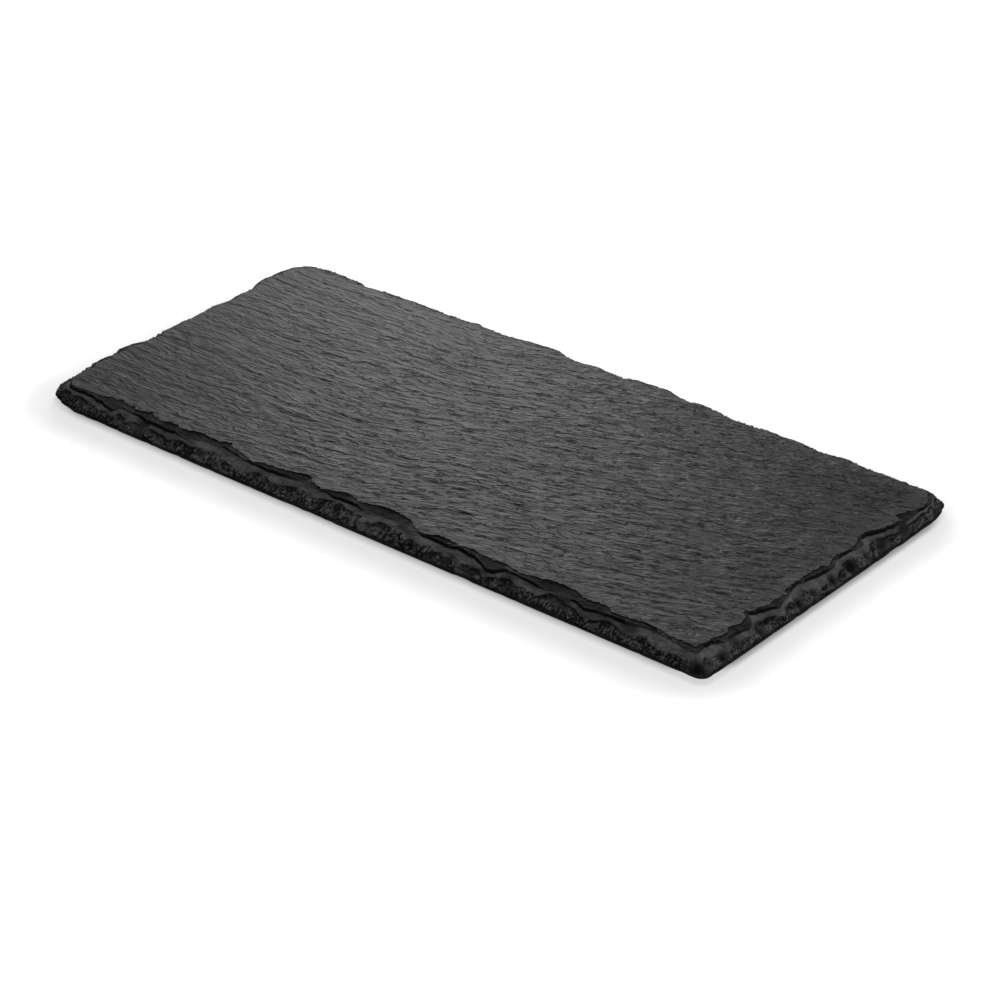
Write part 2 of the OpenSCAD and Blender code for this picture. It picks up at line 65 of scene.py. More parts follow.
# The edges run anticlockwise from above: front, right, back, left. A corner follows each edge.
DIRECTIONS = np.array([[1, 0], [0, 1], [-1, 0], [0, -1]])
OUTWARDS = np.array([[0, -1], [1, 0], [0, 1], [-1, 0]])

# Inset of the crust's rim on an evenly hewn edge, and of the even line inside which the
# face is one field, of the hewn width
RIM_SHARE = 0.75
FACE_SHARE = 1.35
# Length of a corner's own stretch, in hewn widths past the largest radius
CORNER_REACH_SHARE = 1.5
# How close the kinks of the edge's lines lie
CHIP_SPACING, NICK_SPACING, SPLINTER_SPACING = 6.5 * MM, 2.5 * MM, 1.0 * MM
# How strongly chips and nicks together wear the underside's rim, of the deepest nick
NICK_GAIN = 0.6
# How far splinters move the leaf's rim, and nicks the crust's, of the hewn width
SPLINTER_SHARE, CRUST_NICK_SHARE = 0.05, 0.04
# How far nicks and pits move the top of the rough band, of the way up the slope
BAND_NICK_SHARE, BAND_PIT_SHARE = 0.1, 0.06
# What makes the crust's deep steps deeper and its low ones lower
STEP_POWER = 1.6
# Fall of the ledge that a broken leaf leaves, of its width
LEDGE_FALL_SHARE = 0.14
# Narrowest ledge, of the hewn width
LEDGE_SHARE = 0.02
# Widest line of painted shade at the foot of the leaf's step, and the most of the ledge that it takes
FOOT_GAP, FOOT_GAP_SHARE = 0.5 * MM, 0.3
# Painted shade of the caves at the top of the rough band: the level that it swings about, and the
# weight of broad caves against that of small pits
CAVE_SHADE, CAVE_GAIN = 0.1, 1.4
# Painted shade on the crust's step: for its depth, for its nicks, and what is taken off
STEP_SHADE, STEP_NICK_SHADE, STEP_LIGHT = 1.1, 0.3, 0.2
# Painted shade of a ledge: with no width, for each hewn width more, and at most
NARROW_SHADE, WIDTH_SHADE, WIDE_SHADE = 0.2, 2.0, 0.8
# Painted shade in the hollow of the darkest scar
SCAR_SHADE = 0.45
# Painted shade in a chip's hollow, for its depth as a share of the hewn width; how much of the
# roughness it takes off; how high above the underside it is at its full depth; and the hewn
# mask from which points take chips
CHIP_SHADE, CHIP_SMOOTH, CHIP_FADE, CHIP_MASK = 8, 0.8, 1 * MM, 0.6
# How steeply up the relief pushes the hewn edge
PUSH_LEAN = math.radians(50)
# Inset of the underside's even field, of the hewn width, and gap round the face's
UNDER_SHARE, FIELD_GAP = 0.6, 0.7 * MM
# Relief of the underside, of the face's, and how far from a pad's middle it starts, in pads
UNDER_RELIEF, PAD_CLEARANCE = 0.6, 0.8
# Where the grain turns, how gently, and its slope past the bend; how far it wanders
GRAIN_BEND, BEND_LENGTH, GRAIN_SLOPE, GRAIN_WANDER = -0.05, 0.03, 0.36, 5 * MM
# Up to where the relief is calm, from where it is lively, and how lively it is where calm
CALM_PLACE, LIVELY_PLACE, CALM_SHARE = -0.14, 0.03, 0.5
# Lumps a metre along x, y and z of the uneven patterns: the grain's wander, the face's swells,
# its broad and small patches, and the hewn edge's crumbs, crumb tones and scar tones
WANDER_RATE, SWELL_RATE = (18, 22, 22), (25, 40, 40)
BROAD_RATE, PATCH_RATE = (30, 60, 60), (90, 200, 200)
CRUMB_RATE, CRUMB_TONE_RATE, SCAR_TONE_RATE = (700, 700, 700), (170, 170, 480), (120, 120, 360)
# How far a leaf is warped, in leaf widths, and how steeply its relief rises at the break and
# falls behind it
LEAF_WARP, LEAF_RISE, LEAF_FALL = 1.6, 7.7, 1.15
# Mean height of the scales, and of the leaves
SCALE_MEAN, LEAF_MEAN = 0.2, 0.5
# Height of the face's swells, of the ripples'; length and width of its leaves, in ripples;
# and what sets the leaves' seed apart
SWELL_SHARE, LEAF_LENGTHS, LEAF_WIDTHS, LEAF_SEED = 0.4, 2.6, 3.2, 5.0
# Lumps a metre of the noise that jumbles the shards, and what is added to their place
JUMBLE_RATE, JUMBLE_SHIFT = 220.0, 1.6 * MM
# Length and width of the large and the small shards, in shard sizes
LARGE_SHARD, SMALL_SHARD = (1.3, 1.0), (0.45, 0.4)
# Depth of the large and small shards' hollows and of the crumbs, and the level that they
# stand on, of the rough height
LARGE_HOLLOW, SMALL_HOLLOW, CRUMB_HEIGHT, ROUGH_LEVEL = 1.6, 0.45, 0.16, -0.75
# From where to where in a large shard its ridge grows
RIDGE_FROM, RIDGE_TO = 0.45, 0.75
# The fine grain's height, of the grain height; and length and width of the fine scales, of
# the ripples'
GRAIN_SHARE, FINE_SCALE = 0.4, 0.5
# Between which values of the small patches the large leaves grow clear, and how clear the
# faintest are
FAINT_PATCH, CLEAR_PATCH, FAINT_SHARE = -0.35, 0.3, 0.15
# Size and clearness of the small leaves, of the large ones
SMALL_LEAF, SMALL_CLEARNESS = 0.38, 0.8
# Height up to which a scale's crease gets painted shade, broad and fine, and how dark a fine one is
BROAD_CREASE, FINE_CREASE, FINE_CREASE_SHARE = 0.07, 0.15, 0.25
# Where in a leaf the painted shade of its cleft is darkest and ends, and where the painted
# highlight of its lip starts, is palest and ends
CLEFT_DARK, CLEFT_END, LIP_START, LIP_PALE, LIP_END = 0.03, 0.13, 0.14, 0.28, 0.6
# Darkest and palest tint of each finish, and the tint of full painted shade, as factors of its colour
FACE_TINTS, CRUMB_TINTS, SCAR_TINTS, SHADE_TINT = (0.3, 1.7), (0.1, 2.3), (0.7, 2.7), 0.07
RUBBER_TINTS, FILM_TINTS = (0.7, 1.3), (0.85, 1.1)
# Width of a speck on stone, rubber and film
STONE_SPECK, RUBBER_SPECK, FILM_SPECK = 0.6 * MM, 0.25 * MM, 0.5 * MM
# Depth of the fine pits on plain stone, what the rough band adds, and on rubber and film
STONE_PITS, ROUGH_PITS, RUBBER_PITS, FILM_PITS = 0.05 * MM, 0.3 * MM, 0.02 * MM, 0.01 * MM
# Angle between two faces past which the edge between them stays sharp
SHARP_ANGLE = math.radians(38)
# Sides of a turned piece and of the floor, and kinks round the cut rim of an adhesive disc
TURNED_SIDES, FLOOR_SIDES, FILM_KINKS = 72, 64, 12
# The dish in a pad's standing face: places out to the chamfer, and depths there, as shares
DISH_SHARES = ((0, 1), (0.5, 0.8), (0.8, 0.2), (0.9, 0))
# Place of the ring in the flat of a pad and of an adhesive disc, of its radius, and how far
# the disc's rim bulges, of its thickness
PAD_RING, FILM_RING, FILM_BULGE = 0.5, 0.6, 0.25
# Radius of the corners of the painted shadow on the floor
SHADE_RADIUS = 0.02
# Keeps a divisor above zero
TINY = 1e-9
# The slab's settings that the riven tree's inputs take
RIVEN_SIZES = (
    "ripple_height", "ripple_length", "ripple_width", "cleft_height", "rough_height", "shard_size")

# Each leaf row is a place along the edge, of its length from its middle; the inset of the
# leaf's rim, of the hewn width; and the depth of its step, of the leaf's step.
LEAF_SHARES = [
    [(-0.470, 0.59, 0.5), (-0.457, 0.63, 0.5), (-0.437, 0.69, 0.5), (-0.408, 0.75, 0.5),
     (-0.405, 0.85, 0.6), (-0.380, 0.95, 0.6), (-0.373, 0.83, 0.5), (-0.357, 0.95, 0.7),
     (-0.353, 0.76, 1.3), (-0.343, 0.85, 1.3), (-0.333, 0.97, 1.0), (-0.323, 0.86, 0.5),
     (-0.307, 0.72, 0.4), (-0.298, 0.89, 1.1), (-0.285, 0.94, 1.0), (-0.280, 0.76, 0.6),
     (-0.267, 0.87, 1.0), (-0.250, 1.05, 1.1), (-0.233, 0.93, 1.1), (-0.220, 0.97, 1.3),
     (-0.207, 1.16, 0.8), (-0.197, 0.90, 0.4), (-0.183, 0.84, 0.4), (-0.155, 0.62, 0.4),
     (-0.150, 0.73, 0.7), (-0.133, 0.85, 1.0), (-0.120, 0.86, 0.9), (-0.103, 1.00, 1.2),
     (-0.093, 1.13, 1.3), (-0.085, 1.17, 1.2), (-0.077, 1.03, 0.8), (-0.072, 0.86, 0.9),
     (-0.053, 0.73, 0.9), (-0.043, 0.87, 1.2), (-0.033, 1.00, 1.1), (-0.020, 1.09, 0.8),
     (-0.012, 0.96, 0.4), (0.000, 0.88, 0.7), (0.017, 1.07, 1.0), (0.030, 1.14, 1.1),
     (0.053, 1.17, 1.2), (0.067, 1.09, 0.6), (0.077, 0.92, 0.4), (0.090, 0.72, 0.4),
     (0.100, 0.63, 0.5), (0.105, 0.72, 1.4), (0.117, 0.87, 1.8), (0.130, 0.90, 1.4),
     (0.147, 0.80, 0.5), (0.167, 0.85, 0.9), (0.190, 0.81, 0.9), (0.213, 0.85, 0.6),
     (0.233, 0.73, 0.5), (0.253, 0.80, 0.9), (0.270, 0.92, 1.1), (0.287, 1.03, 1.2),
     (0.307, 1.00, 1.0), (0.320, 0.78, 0.9), (0.337, 0.87, 0.8), (0.353, 0.85, 0.6),
     (0.360, 0.70, 0.7), (0.370, 0.71, 1.0), (0.387, 0.78, 1.2), (0.400, 0.85, 1.4),
     (0.417, 0.87, 1.5), (0.420, 0.79, 0.6), (0.437, 0.73, 0.5), (0.467, 0.71, 0.8)],
    [(-0.434, 0.85, 0.9), (-0.414, 0.80, 0.9), (-0.386, 0.70, 0.8), (-0.359, 0.62, 0.6),
     (-0.348, 0.74, 0.7), (-0.331, 0.72, 0.6), (-0.310, 0.60, 0.5), (-0.297, 0.60, 0.5),
     (-0.276, 0.84, 0.6), (-0.266, 0.92, 0.8), (-0.259, 0.82, 0.8), (-0.241, 0.76, 0.9),
     (-0.221, 0.70, 0.7), (-0.207, 0.62, 0.6), (-0.166, 0.60, 0.6), (-0.148, 0.53, 0.6),
     (-0.138, 0.70, 0.9), (-0.110, 0.75, 1.0), (-0.083, 0.77, 0.9), (-0.062, 0.81, 1.0),
     (-0.028, 0.75, 1.0), (0.000, 0.70, 0.9), (0.014, 0.55, 0.7), (0.041, 0.65, 0.7),
     (0.055, 0.75, 1.0), (0.069, 0.74, 1.1), (0.093, 0.61, 0.8), (0.110, 0.60, 0.6),
     (0.138, 0.68, 0.6), (0.155, 0.77, 0.7), (0.169, 0.90, 0.9), (0.193, 0.81, 0.8),
     (0.214, 0.67, 0.7), (0.234, 0.58, 0.7), (0.262, 0.46, 0.6), (0.290, 0.45, 0.6),
     (0.300, 0.70, 0.8), (0.331, 0.52, 0.7), (0.352, 0.40, 0.6), (0.366, 0.35, 0.5),
     (0.386, 0.40, 0.6), (0.407, 0.52, 0.6), (0.421, 0.65, 0.6)],
    [(-0.470, 0.86, 0.6), (-0.450, 0.87, 0.7), (-0.430, 0.83, 0.6), (-0.407, 0.82, 0.7),
     (-0.398, 0.91, 1.0), (-0.383, 0.86, 0.8), (-0.363, 0.73, 0.7), (-0.347, 0.78, 0.8),
     (-0.328, 0.92, 1.1), (-0.310, 0.87, 0.9), (-0.290, 0.75, 0.7), (-0.270, 0.83, 0.9),
     (-0.247, 0.71, 0.7), (-0.230, 0.87, 1.0), (-0.223, 0.90, 1.1), (-0.213, 0.82, 0.8),
     (-0.203, 0.88, 1.0), (-0.195, 0.83, 0.9), (-0.177, 0.68, 0.8), (-0.143, 0.64, 0.7),
     (-0.137, 0.75, 1.1), (-0.113, 0.68, 0.9), (-0.103, 0.58, 0.7), (-0.083, 0.58, 0.8),
     (-0.075, 0.66, 0.9), (-0.050, 0.61, 0.8), (-0.037, 0.85, 1.3), (-0.023, 0.76, 0.9),
     (0.000, 0.73, 0.7), (0.020, 0.79, 0.9), (0.037, 0.84, 1.1), (0.050, 0.73, 0.9),
     (0.067, 0.63, 0.6), (0.093, 0.66, 0.7), (0.103, 0.72, 0.9), (0.120, 0.73, 0.8),
     (0.143, 0.82, 0.9), (0.157, 0.90, 1.2), (0.170, 0.84, 0.9), (0.190, 0.79, 0.8),
     (0.203, 0.88, 1.0), (0.213, 0.85, 0.9), (0.228, 1.01, 1.3), (0.240, 0.93, 0.9),
     (0.267, 0.90, 0.7), (0.277, 0.96, 1.0), (0.292, 0.84, 0.7), (0.302, 0.89, 0.8),
     (0.317, 1.01, 1.1), (0.340, 0.92, 0.8), (0.360, 0.97, 0.9), (0.377, 1.13, 1.3),
     (0.393, 1.09, 1.0), (0.413, 0.93, 0.7), (0.443, 1.02, 0.8), (0.455, 1.09, 0.8)],
    [(-0.386, 0.59, 0.6), (-0.366, 0.62, 0.7), (-0.345, 0.64, 0.7), (-0.303, 0.54, 0.8),
     (-0.283, 0.57, 0.9), (-0.262, 0.62, 0.9), (-0.234, 0.79, 1.1), (-0.214, 0.82, 0.9),
     (-0.197, 0.74, 0.8), (-0.172, 0.76, 0.7), (-0.145, 0.81, 0.9), (-0.124, 0.72, 0.8),
     (-0.090, 0.64, 0.8), (-0.069, 0.68, 0.9), (-0.048, 0.74, 1.0), (0.000, 0.76, 0.8),
     (0.028, 0.71, 0.7), (0.055, 0.73, 0.8), (0.090, 0.75, 0.9), (0.110, 0.86, 1.2),
     (0.131, 0.90, 1.0), (0.159, 0.88, 0.8), (0.172, 0.80, 0.7), (0.193, 0.82, 0.9),
     (0.207, 0.70, 1.1), (0.228, 0.70, 1.0), (0.248, 0.78, 0.8), (0.283, 0.75, 0.7),
     (0.303, 0.79, 0.9), (0.314, 0.73, 1.1), (0.331, 0.75, 1.0), (0.348, 0.85, 0.9),
     (0.366, 0.94, 0.8), (0.400, 0.92, 0.7), (0.424, 0.86, 0.7), (0.448, 0.90, 0.6)],
]

# Each crust row is a place along the edge; the inset of the crust's rim, of the hewn width;
# and the depth of its step, of the crust's step.
CRUST_SHARES = [
    [(-0.470, 0.54, 1.1), (-0.455, 0.60, 1.3), (-0.429, 0.61, 1.3), (-0.402, 0.51, 1.3),
     (-0.379, 0.39, 1.2), (-0.372, 0.61, 0.7), (-0.355, 0.63, 0.8), (-0.329, 0.59, 1.2),
     (-0.309, 0.51, 1.4), (-0.279, 0.60, 1.2), (-0.259, 0.48, 0.6), (-0.240, 0.65, 0.4),
     (-0.222, 0.81, 0.7), (-0.205, 0.84, 0.9), (-0.185, 0.71, 0.9), (-0.162, 0.59, 0.9),
     (-0.152, 0.57, 0.9), (-0.139, 0.65, 1.2), (-0.119, 0.73, 1.3), (-0.099, 0.83, 1.0),
     (-0.083, 0.95, 0.5), (-0.073, 0.80, 0.5), (-0.062, 0.72, 0.6), (-0.049, 0.78, 1.0),
     (-0.035, 0.73, 1.2), (-0.009, 0.75, 1.3), (0.008, 0.71, 1.0), (0.021, 0.60, 0.6),
     (0.035, 0.66, 0.4), (0.065, 0.74, 0.4), (0.085, 0.64, 0.4), (0.098, 0.58, 0.9),
     (0.121, 0.72, 1.3), (0.141, 0.70, 1.2), (0.168, 0.69, 1.3), (0.188, 0.51, 1.2),
     (0.198, 0.33, 1.4), (0.208, 0.43, 1.5), (0.218, 0.64, 1.1), (0.238, 0.58, 1.0),
     (0.265, 0.57, 1.1), (0.278, 0.58, 0.8), (0.291, 0.66, 0.6), (0.308, 0.59, 1.0),
     (0.331, 0.45, 1.3), (0.351, 0.54, 1.0), (0.371, 0.53, 1.3), (0.381, 0.63, 1.2),
     (0.401, 0.71, 0.7), (0.431, 0.66, 0.6), (0.455, 0.54, 0.8), (0.465, 0.50, 0.6)],
    [(-0.430, 0.80, 1.2), (-0.407, 0.75, 1.2), (-0.388, 0.60, 1.2), (-0.378, 0.45, 0.8),
     (-0.340, 0.47, 1.1), (-0.323, 0.40, 1.1), (-0.312, 0.24, 0.8), (-0.283, 0.45, 0.5),
     (-0.262, 0.82, 1.0), (-0.243, 0.75, 1.5), (-0.230, 0.65, 1.5), (-0.216, 0.50, 1.3),
     (-0.195, 0.35, 1.0), (-0.161, 0.42, 0.6), (-0.141, 0.50, 0.7), (-0.119, 0.70, 1.1),
     (-0.090, 0.73, 0.9), (-0.062, 0.65, 1.2), (-0.034, 0.57, 1.3), (0.000, 0.51, 1.3),
     (0.028, 0.48, 1.0), (0.052, 0.62, 0.7), (0.067, 0.72, 1.2), (0.094, 0.58, 1.0),
     (0.124, 0.46, 0.6), (0.152, 0.50, 0.7), (0.172, 0.86, 1.3), (0.198, 0.78, 1.5),
     (0.219, 0.63, 1.4), (0.253, 0.50, 1.2), (0.281, 0.40, 1.1), (0.310, 0.31, 0.9),
     (0.343, 0.36, 1.1), (0.370, 0.31, 1.2), (0.398, 0.38, 1.1), (0.421, 0.52, 0.9)],
    [(-0.465, 0.80, 0.8), (-0.438, 0.76, 1.1), (-0.410, 0.70, 1.2), (-0.396, 0.80, 1.0),
     (-0.368, 0.62, 0.9), (-0.331, 0.78, 1.2), (-0.300, 0.68, 1.3), (-0.262, 0.66, 0.9),
     (-0.226, 0.76, 1.1), (-0.190, 0.72, 1.3), (-0.148, 0.54, 1.0), (-0.134, 0.66, 0.8),
     (-0.098, 0.40, 1.2), (-0.056, 0.46, 1.1), (-0.036, 0.72, 0.9), (0.004, 0.58, 1.2),
     (0.040, 0.70, 0.9), (0.072, 0.45, 1.2), (0.112, 0.56, 1.0), (0.160, 0.76, 1.1),
     (0.196, 0.60, 1.3), (0.229, 0.84, 0.9), (0.262, 0.74, 1.1), (0.295, 0.72, 1.3),
     (0.318, 0.80, 0.9), (0.352, 0.80, 1.2), (0.380, 1.05, 1.0), (0.415, 0.82, 1.2),
     (0.452, 0.78, 0.8)],
    [(-0.400, 0.50, 0.9), (-0.352, 0.42, 1.2), (-0.310, 0.36, 1.1), (-0.268, 0.44, 1.0),
     (-0.228, 0.66, 1.2), (-0.180, 0.62, 1.1), (-0.140, 0.68, 0.8), (-0.094, 0.54, 1.2),
     (-0.050, 0.66, 0.9), (-0.004, 0.66, 1.2), (0.048, 0.62, 1.0), (0.088, 0.66, 1.1),
     (0.128, 0.80, 1.2), (0.170, 0.68, 0.8), (0.196, 0.44, 1.3), (0.236, 0.43, 1.2),
     (0.268, 0.66, 1.2), (0.300, 0.50, 1.1), (0.332, 0.50, 1.2), (0.354, 0.80, 1.1),
     (0.405, 0.82, 1.2), (0.440, 0.80, 0.9)],
]

# Each band row is a place along the edge, and how far up the slope the rough band reaches.
BAND_SHARES = [
    [(-0.437, 0.68), (-0.403, 0.59), (-0.383, 0.66), (-0.357, 0.56), (-0.343, 0.50),
     (-0.320, 0.59), (-0.297, 0.59), (-0.263, 0.64), (-0.230, 0.56), (-0.217, 0.66),
     (-0.187, 0.44), (-0.170, 0.47), (-0.133, 0.64), (-0.110, 0.59), (-0.077, 0.53),
     (-0.047, 0.68), (-0.027, 0.90), (-0.018, 0.70), (0.010, 0.64), (0.030, 0.59),
     (0.037, 0.70), (0.063, 0.70), (0.080, 0.52), (0.130, 0.59), (0.147, 0.44),
     (0.170, 0.61), (0.190, 0.55), (0.230, 0.59), (0.257, 0.52), (0.283, 0.76),
     (0.307, 0.70), (0.323, 0.50), (0.350, 0.47), (0.363, 0.64), (0.377, 0.47),
     (0.427, 0.44), (0.460, 0.48)],
    [(-0.440, 0.68), (-0.410, 0.55), (-0.372, 0.48), (-0.330, 0.50), (-0.285, 0.68),
     (-0.245, 0.52), (-0.200, 0.46), (-0.160, 0.56), (-0.115, 0.44), (-0.070, 0.58),
     (-0.030, 0.47), (0.010, 0.42), (0.050, 0.50), (0.085, 0.68), (0.130, 0.48),
     (0.170, 0.56), (0.210, 0.66), (0.250, 0.48), (0.300, 0.50), (0.350, 0.72),
     (0.400, 0.86), (0.430, 0.92)],
    [(-0.450, 0.85), (-0.405, 0.66), (-0.365, 0.48), (-0.320, 0.60), (-0.275, 0.46),
     (-0.230, 0.68), (-0.180, 0.52), (-0.140, 0.62), (-0.090, 0.45), (-0.045, 0.64),
     (0.000, 0.50), (0.045, 0.58), (0.090, 0.44), (0.135, 0.62), (0.185, 0.50),
     (0.230, 0.66), (0.280, 0.48), (0.330, 0.60), (0.375, 0.70), (0.420, 0.52),
     (0.455, 0.58)],
    [(-0.420, 0.58), (-0.360, 0.48), (-0.300, 0.64), (-0.240, 0.50), (-0.180, 0.60),
     (-0.110, 0.46), (-0.040, 0.62), (0.030, 0.48), (0.100, 0.66), (0.160, 0.52),
     (0.220, 0.60), (0.280, 0.46), (0.340, 0.62), (0.410, 0.50)],
]

# Places of the ridges between the scars, along each edge
RIDGE_SHARES = [
    (-0.463, -0.393, -0.353, -0.320, -0.267, -0.230, -0.157, -0.103, -0.060, -0.023, 0.060,
     0.097, 0.187, 0.213, 0.240, 0.273, 0.313, 0.347, 0.373, 0.413, 0.467),
    (-0.455, -0.395, -0.310, -0.270, -0.185, -0.140, -0.045, 0.045, 0.110, 0.165, 0.230,
     0.305, 0.375, 0.430),
    (-0.465, -0.398, -0.332, -0.262, -0.226, -0.160, -0.136, -0.070, -0.036, 0.038, 0.098,
     0.158, 0.206, 0.229, 0.292, 0.318, 0.378, 0.460),
    (-0.430, -0.345, -0.230, -0.150, -0.045, 0.040, 0.125, 0.200, 0.260, 0.350, 0.440),
]

# Each taper row is a place along the edge, and the inset of the underside's rim there, of the
# hewn width: two corners were struck off aslant, and two bites were taken out of the rim.
TAPER_SHARES = [
    [(-0.480, 0.34), (-0.465, 0.19), (-0.452, 0.12), (-0.433, 0)],
    [(0.386, 0), (0.420, 0.08), (0.450, 0.17), (0.472, 0.27)],
    [(-0.487, 0.27), (-0.470, 0.12), (-0.450, 0), (0.360, 0), (0.384, 0.20), (0.405, 0)],
    [(0.345, 0), (0.368, 0.14), (0.400, 0.08), (0.440, 0.20), (0.466, 0.34)],
]

# Each chip row is the edge; the place along it; the chip's inset, length along the edge,
# width up the slope and depth, of the hewn width; and how far round the next corner it
# faces, from 0 to 1.
CHIP_SHARES = [
    (0, -0.333, 0.42, 0.9, 0.7, 0.10, 0), (0, -0.230, 0.30, 0.5, 0.4, 0.07, 0),
    (0, 0.037, 0.48, 0.3, 0.2, 0.05, 0), (0, 0.143, 0.24, 0.5, 0.35, 0.09, 0),
    (0, 0.177, 0.22, 0.9, 0.4, 0.09, 0), (0, 0.232, 0.20, 0.5, 0.5, 0.08, 0),
    (0, 0.300, 0.40, 1.1, 0.35, 0.08, 0), (0, 0.385, 0.50, 1.2, 0.5, 0.07, 0),
    (0, 0.487, 0.22, 1.5, 0.8, 0.13, 0.4),
    (1, -0.410, 0.20, 0.6, 0.5, 0.12, 0), (1, -0.358, 0.38, 0.8, 0.5, 0.06, 0),
    (1, -0.272, 0.24, 0.7, 0.55, 0.12, 0), (1, -0.124, 0.24, 0.6, 0.55, 0.13, 0),
    (1, -0.067, 0.26, 0.45, 0.5, 0.12, 0), (1, 0.005, 0.22, 0.5, 0.5, 0.13, 0),
    (1, 0.081, 0.28, 0.75, 0.6, 0.15, 0), (1, 0.138, 0.22, 0.4, 0.45, 0.11, 0),
    (1, 0.207, 0.28, 0.8, 0.55, 0.12, 0), (1, 0.290, 0.24, 0.7, 0.5, 0.11, 0),
    (2, -0.350, 0.25, 0.6, 0.45, 0.09, 0), (2, -0.190, 0.28, 0.5, 0.4, 0.09, 0),
    (2, -0.050, 0.22, 0.7, 0.45, 0.10, 0), (2, 0.110, 0.26, 0.5, 0.4, 0.08, 0),
    (2, 0.260, 0.24, 0.6, 0.4, 0.10, 0), (2, 0.400, 0.28, 0.7, 0.5, 0.09, 0),
    (3, -0.280, 0.24, 0.6, 0.45, 0.10, 0), (3, -0.090, 0.26, 0.5, 0.4, 0.09, 0),
    (3, 0.080, 0.22, 0.5, 0.4, 0.10, 0), (3, 0.300, 0.27, 0.6, 0.45, 0.09, 0),
]


def length_property(name, description, default):
    """A length in metres that the sidebar shows in the scene's units."""
    return FloatProperty(
        name=name, description=description, default=default, min=0.0,
        subtype="DISTANCE", unit="LENGTH", precision=5)


def share_property(name, description, default):
    """A share from 0 to 1."""
    return FloatProperty(
        name=name, description=description, default=default, min=0.0, max=1.0, subtype="FACTOR")


def color_property(name, description, default):
    """A linear colour."""
    return FloatVectorProperty(
        name=name, description=description, default=default, min=0.0, max=1.0, subtype="COLOR")


def place_property(name, description, default):
    """A point in metres."""
    return FloatVectorProperty(
        name=name, description=description, default=default, subtype="XYZ", unit="LENGTH")


def power_property(name, description, default):
    """A lamp's power in watts."""
    return FloatProperty(
        name=name, description=description, default=default, min=0.0,
        subtype="POWER", unit="POWER")


def strength_property(name, description, default):
    """A strength from 0 up."""
    return FloatProperty(name=name, description=description, default=default, min=0.0)


def angle_property(name, description, degrees):
    """An angle, whose default is given in degrees."""
    return FloatProperty(
        name=name, description=description, default=math.radians(degrees),
        subtype="ANGLE", unit="ROTATION")


def radii_property(name, rim, default):
    """A rim's radius at each of the four corners."""
    corners = "front right, back right, back left and front left"
    return FloatVectorProperty(
        name=name, description=f"Radius of the {rim} at the {corners}", size=4, default=default,
        subtype="NONE", unit="LENGTH")


class SlabSettings(bpy.types.PropertyGroup):
    """Sizes and colours of the slate slab"""

    length: length_property(
        "Length", "Length of the slab at its underside", SLAB_HIGH.x - SLAB_LOW.x)
    width: length_property(
        "Width", "Width of the slab at its underside", SLAB_HIGH.y - SLAB_LOW.y)
    underside: length_property("Underside", "Height of the underside", SLAB_LOW.z)
    thickness: length_property(
        "Thickness", "Thickness of the slate", SLAB_HIGH.z - SLAB_LOW.z)
    corner_radii: radii_property(
        "Corner radii", "underside", (4 * MM, 4 * MM, 12 * MM, 5 * MM))
    crust_radii: radii_property(
        "Crust radii", "crust's rim", (1.5 * MM, 3 * MM, 11 * MM, 8 * MM))
    hewn_width: length_property("Hewn width", "Width of the band that the hewing took off", 10 * MM)
    rim_height: length_property("Rim height", "Height of the plain rim at the underside", 0.5 * MM)
    nick_depth: length_property("Nick depth", "Deepest nick in the rim", 0.4 * MM)
    crust_step: length_property("Crust step", "Depth of the step at the crust's rim", 0.75 * MM)
    leaf_step: length_property("Leaf step", "Depth of the step at the leaf's rim", 0.4 * MM)
    step_lean: length_property("Step lean", "How far a step leans back", 0.15 * MM)
    scar_depth: length_property("Scar depth", "Depth of the hollow in the middle of a scar", 0.35 * MM)
    shoulder: length_property("Shoulder", "Height of the shoulder below the scars", 0.35 * MM)
    ripple_height: length_property("Ripple height", "Height of the ripples of the face", 0.84 * MM)
    ripple_length: length_property("Ripple length", "Length of a ripple along the grain", 12 * MM)
    ripple_width: length_property("Ripple width", "Width of a ripple across the grain", 2.8 * MM)
    cleft_height: length_property("Cleft height", "Height of the steps between the leaves", 0.22 * MM)
    rough_height: length_property("Rough height", "Height of the shards of the rough band", 0.75 * MM)
    shard_size: length_property("Shard size", "Width of a shard of the rough band", 2.2 * MM)
    station_step: length_property("Station step", "Spacing of the points round the edge", 0.5 * MM)
    grain_step: length_property("Grain step", "Spacing of the face's points along the grain", 1.6 * MM)
    cross_step: length_property("Cross step", "Spacing of the face's points across it", 0.5 * MM)
    under_step: length_property("Underside step", "Spacing of the underside's points", 2.2 * MM)
    seed: IntProperty(name="Seed", description="Seed of everything uneven", default=7, min=0)
    face_color: color_property("Face", "Colour of the riven face", (0.034, 0.034, 0.0345))
    # The edge's colour is paler than the face's to make up for the weaker light on the hewn slopes:
    # painted light
    edge_color: color_property("Edge", "Colour of the hewn edge", (0.093, 0.093, 0.094))
    # Pale colour of crushed-stone dust on the rough band, which also serves as painted glints on its
    # specks and painted highlights on its shards' ridges
    dust_and_glint_color: color_property("Dust", "Colour of the crushed stone on the ridges", (0.17, 0.17, 0.17))


class PadSettings(bpy.types.PropertyGroup):
    """Sizes and colours of the rubber pads and their adhesive discs"""

    chamfer: length_property("Chamfer", "Chamfer round both faces of a pad", 0.25 * MM)
    dish: length_property("Dish", "Depth of the shallow dish in the standing face", 0.06 * MM)
    film_wave: length_property("Film wave", "Unevenness of the cut rim of an adhesive disc", 0.05 * MM)
    rubber_color: color_property("Rubber", "Colour of the rubber", (0.02, 0.02, 0.02))
    film_color: color_property("Film", "Colour of the adhesive film", (0.55, 0.54, 0.5))


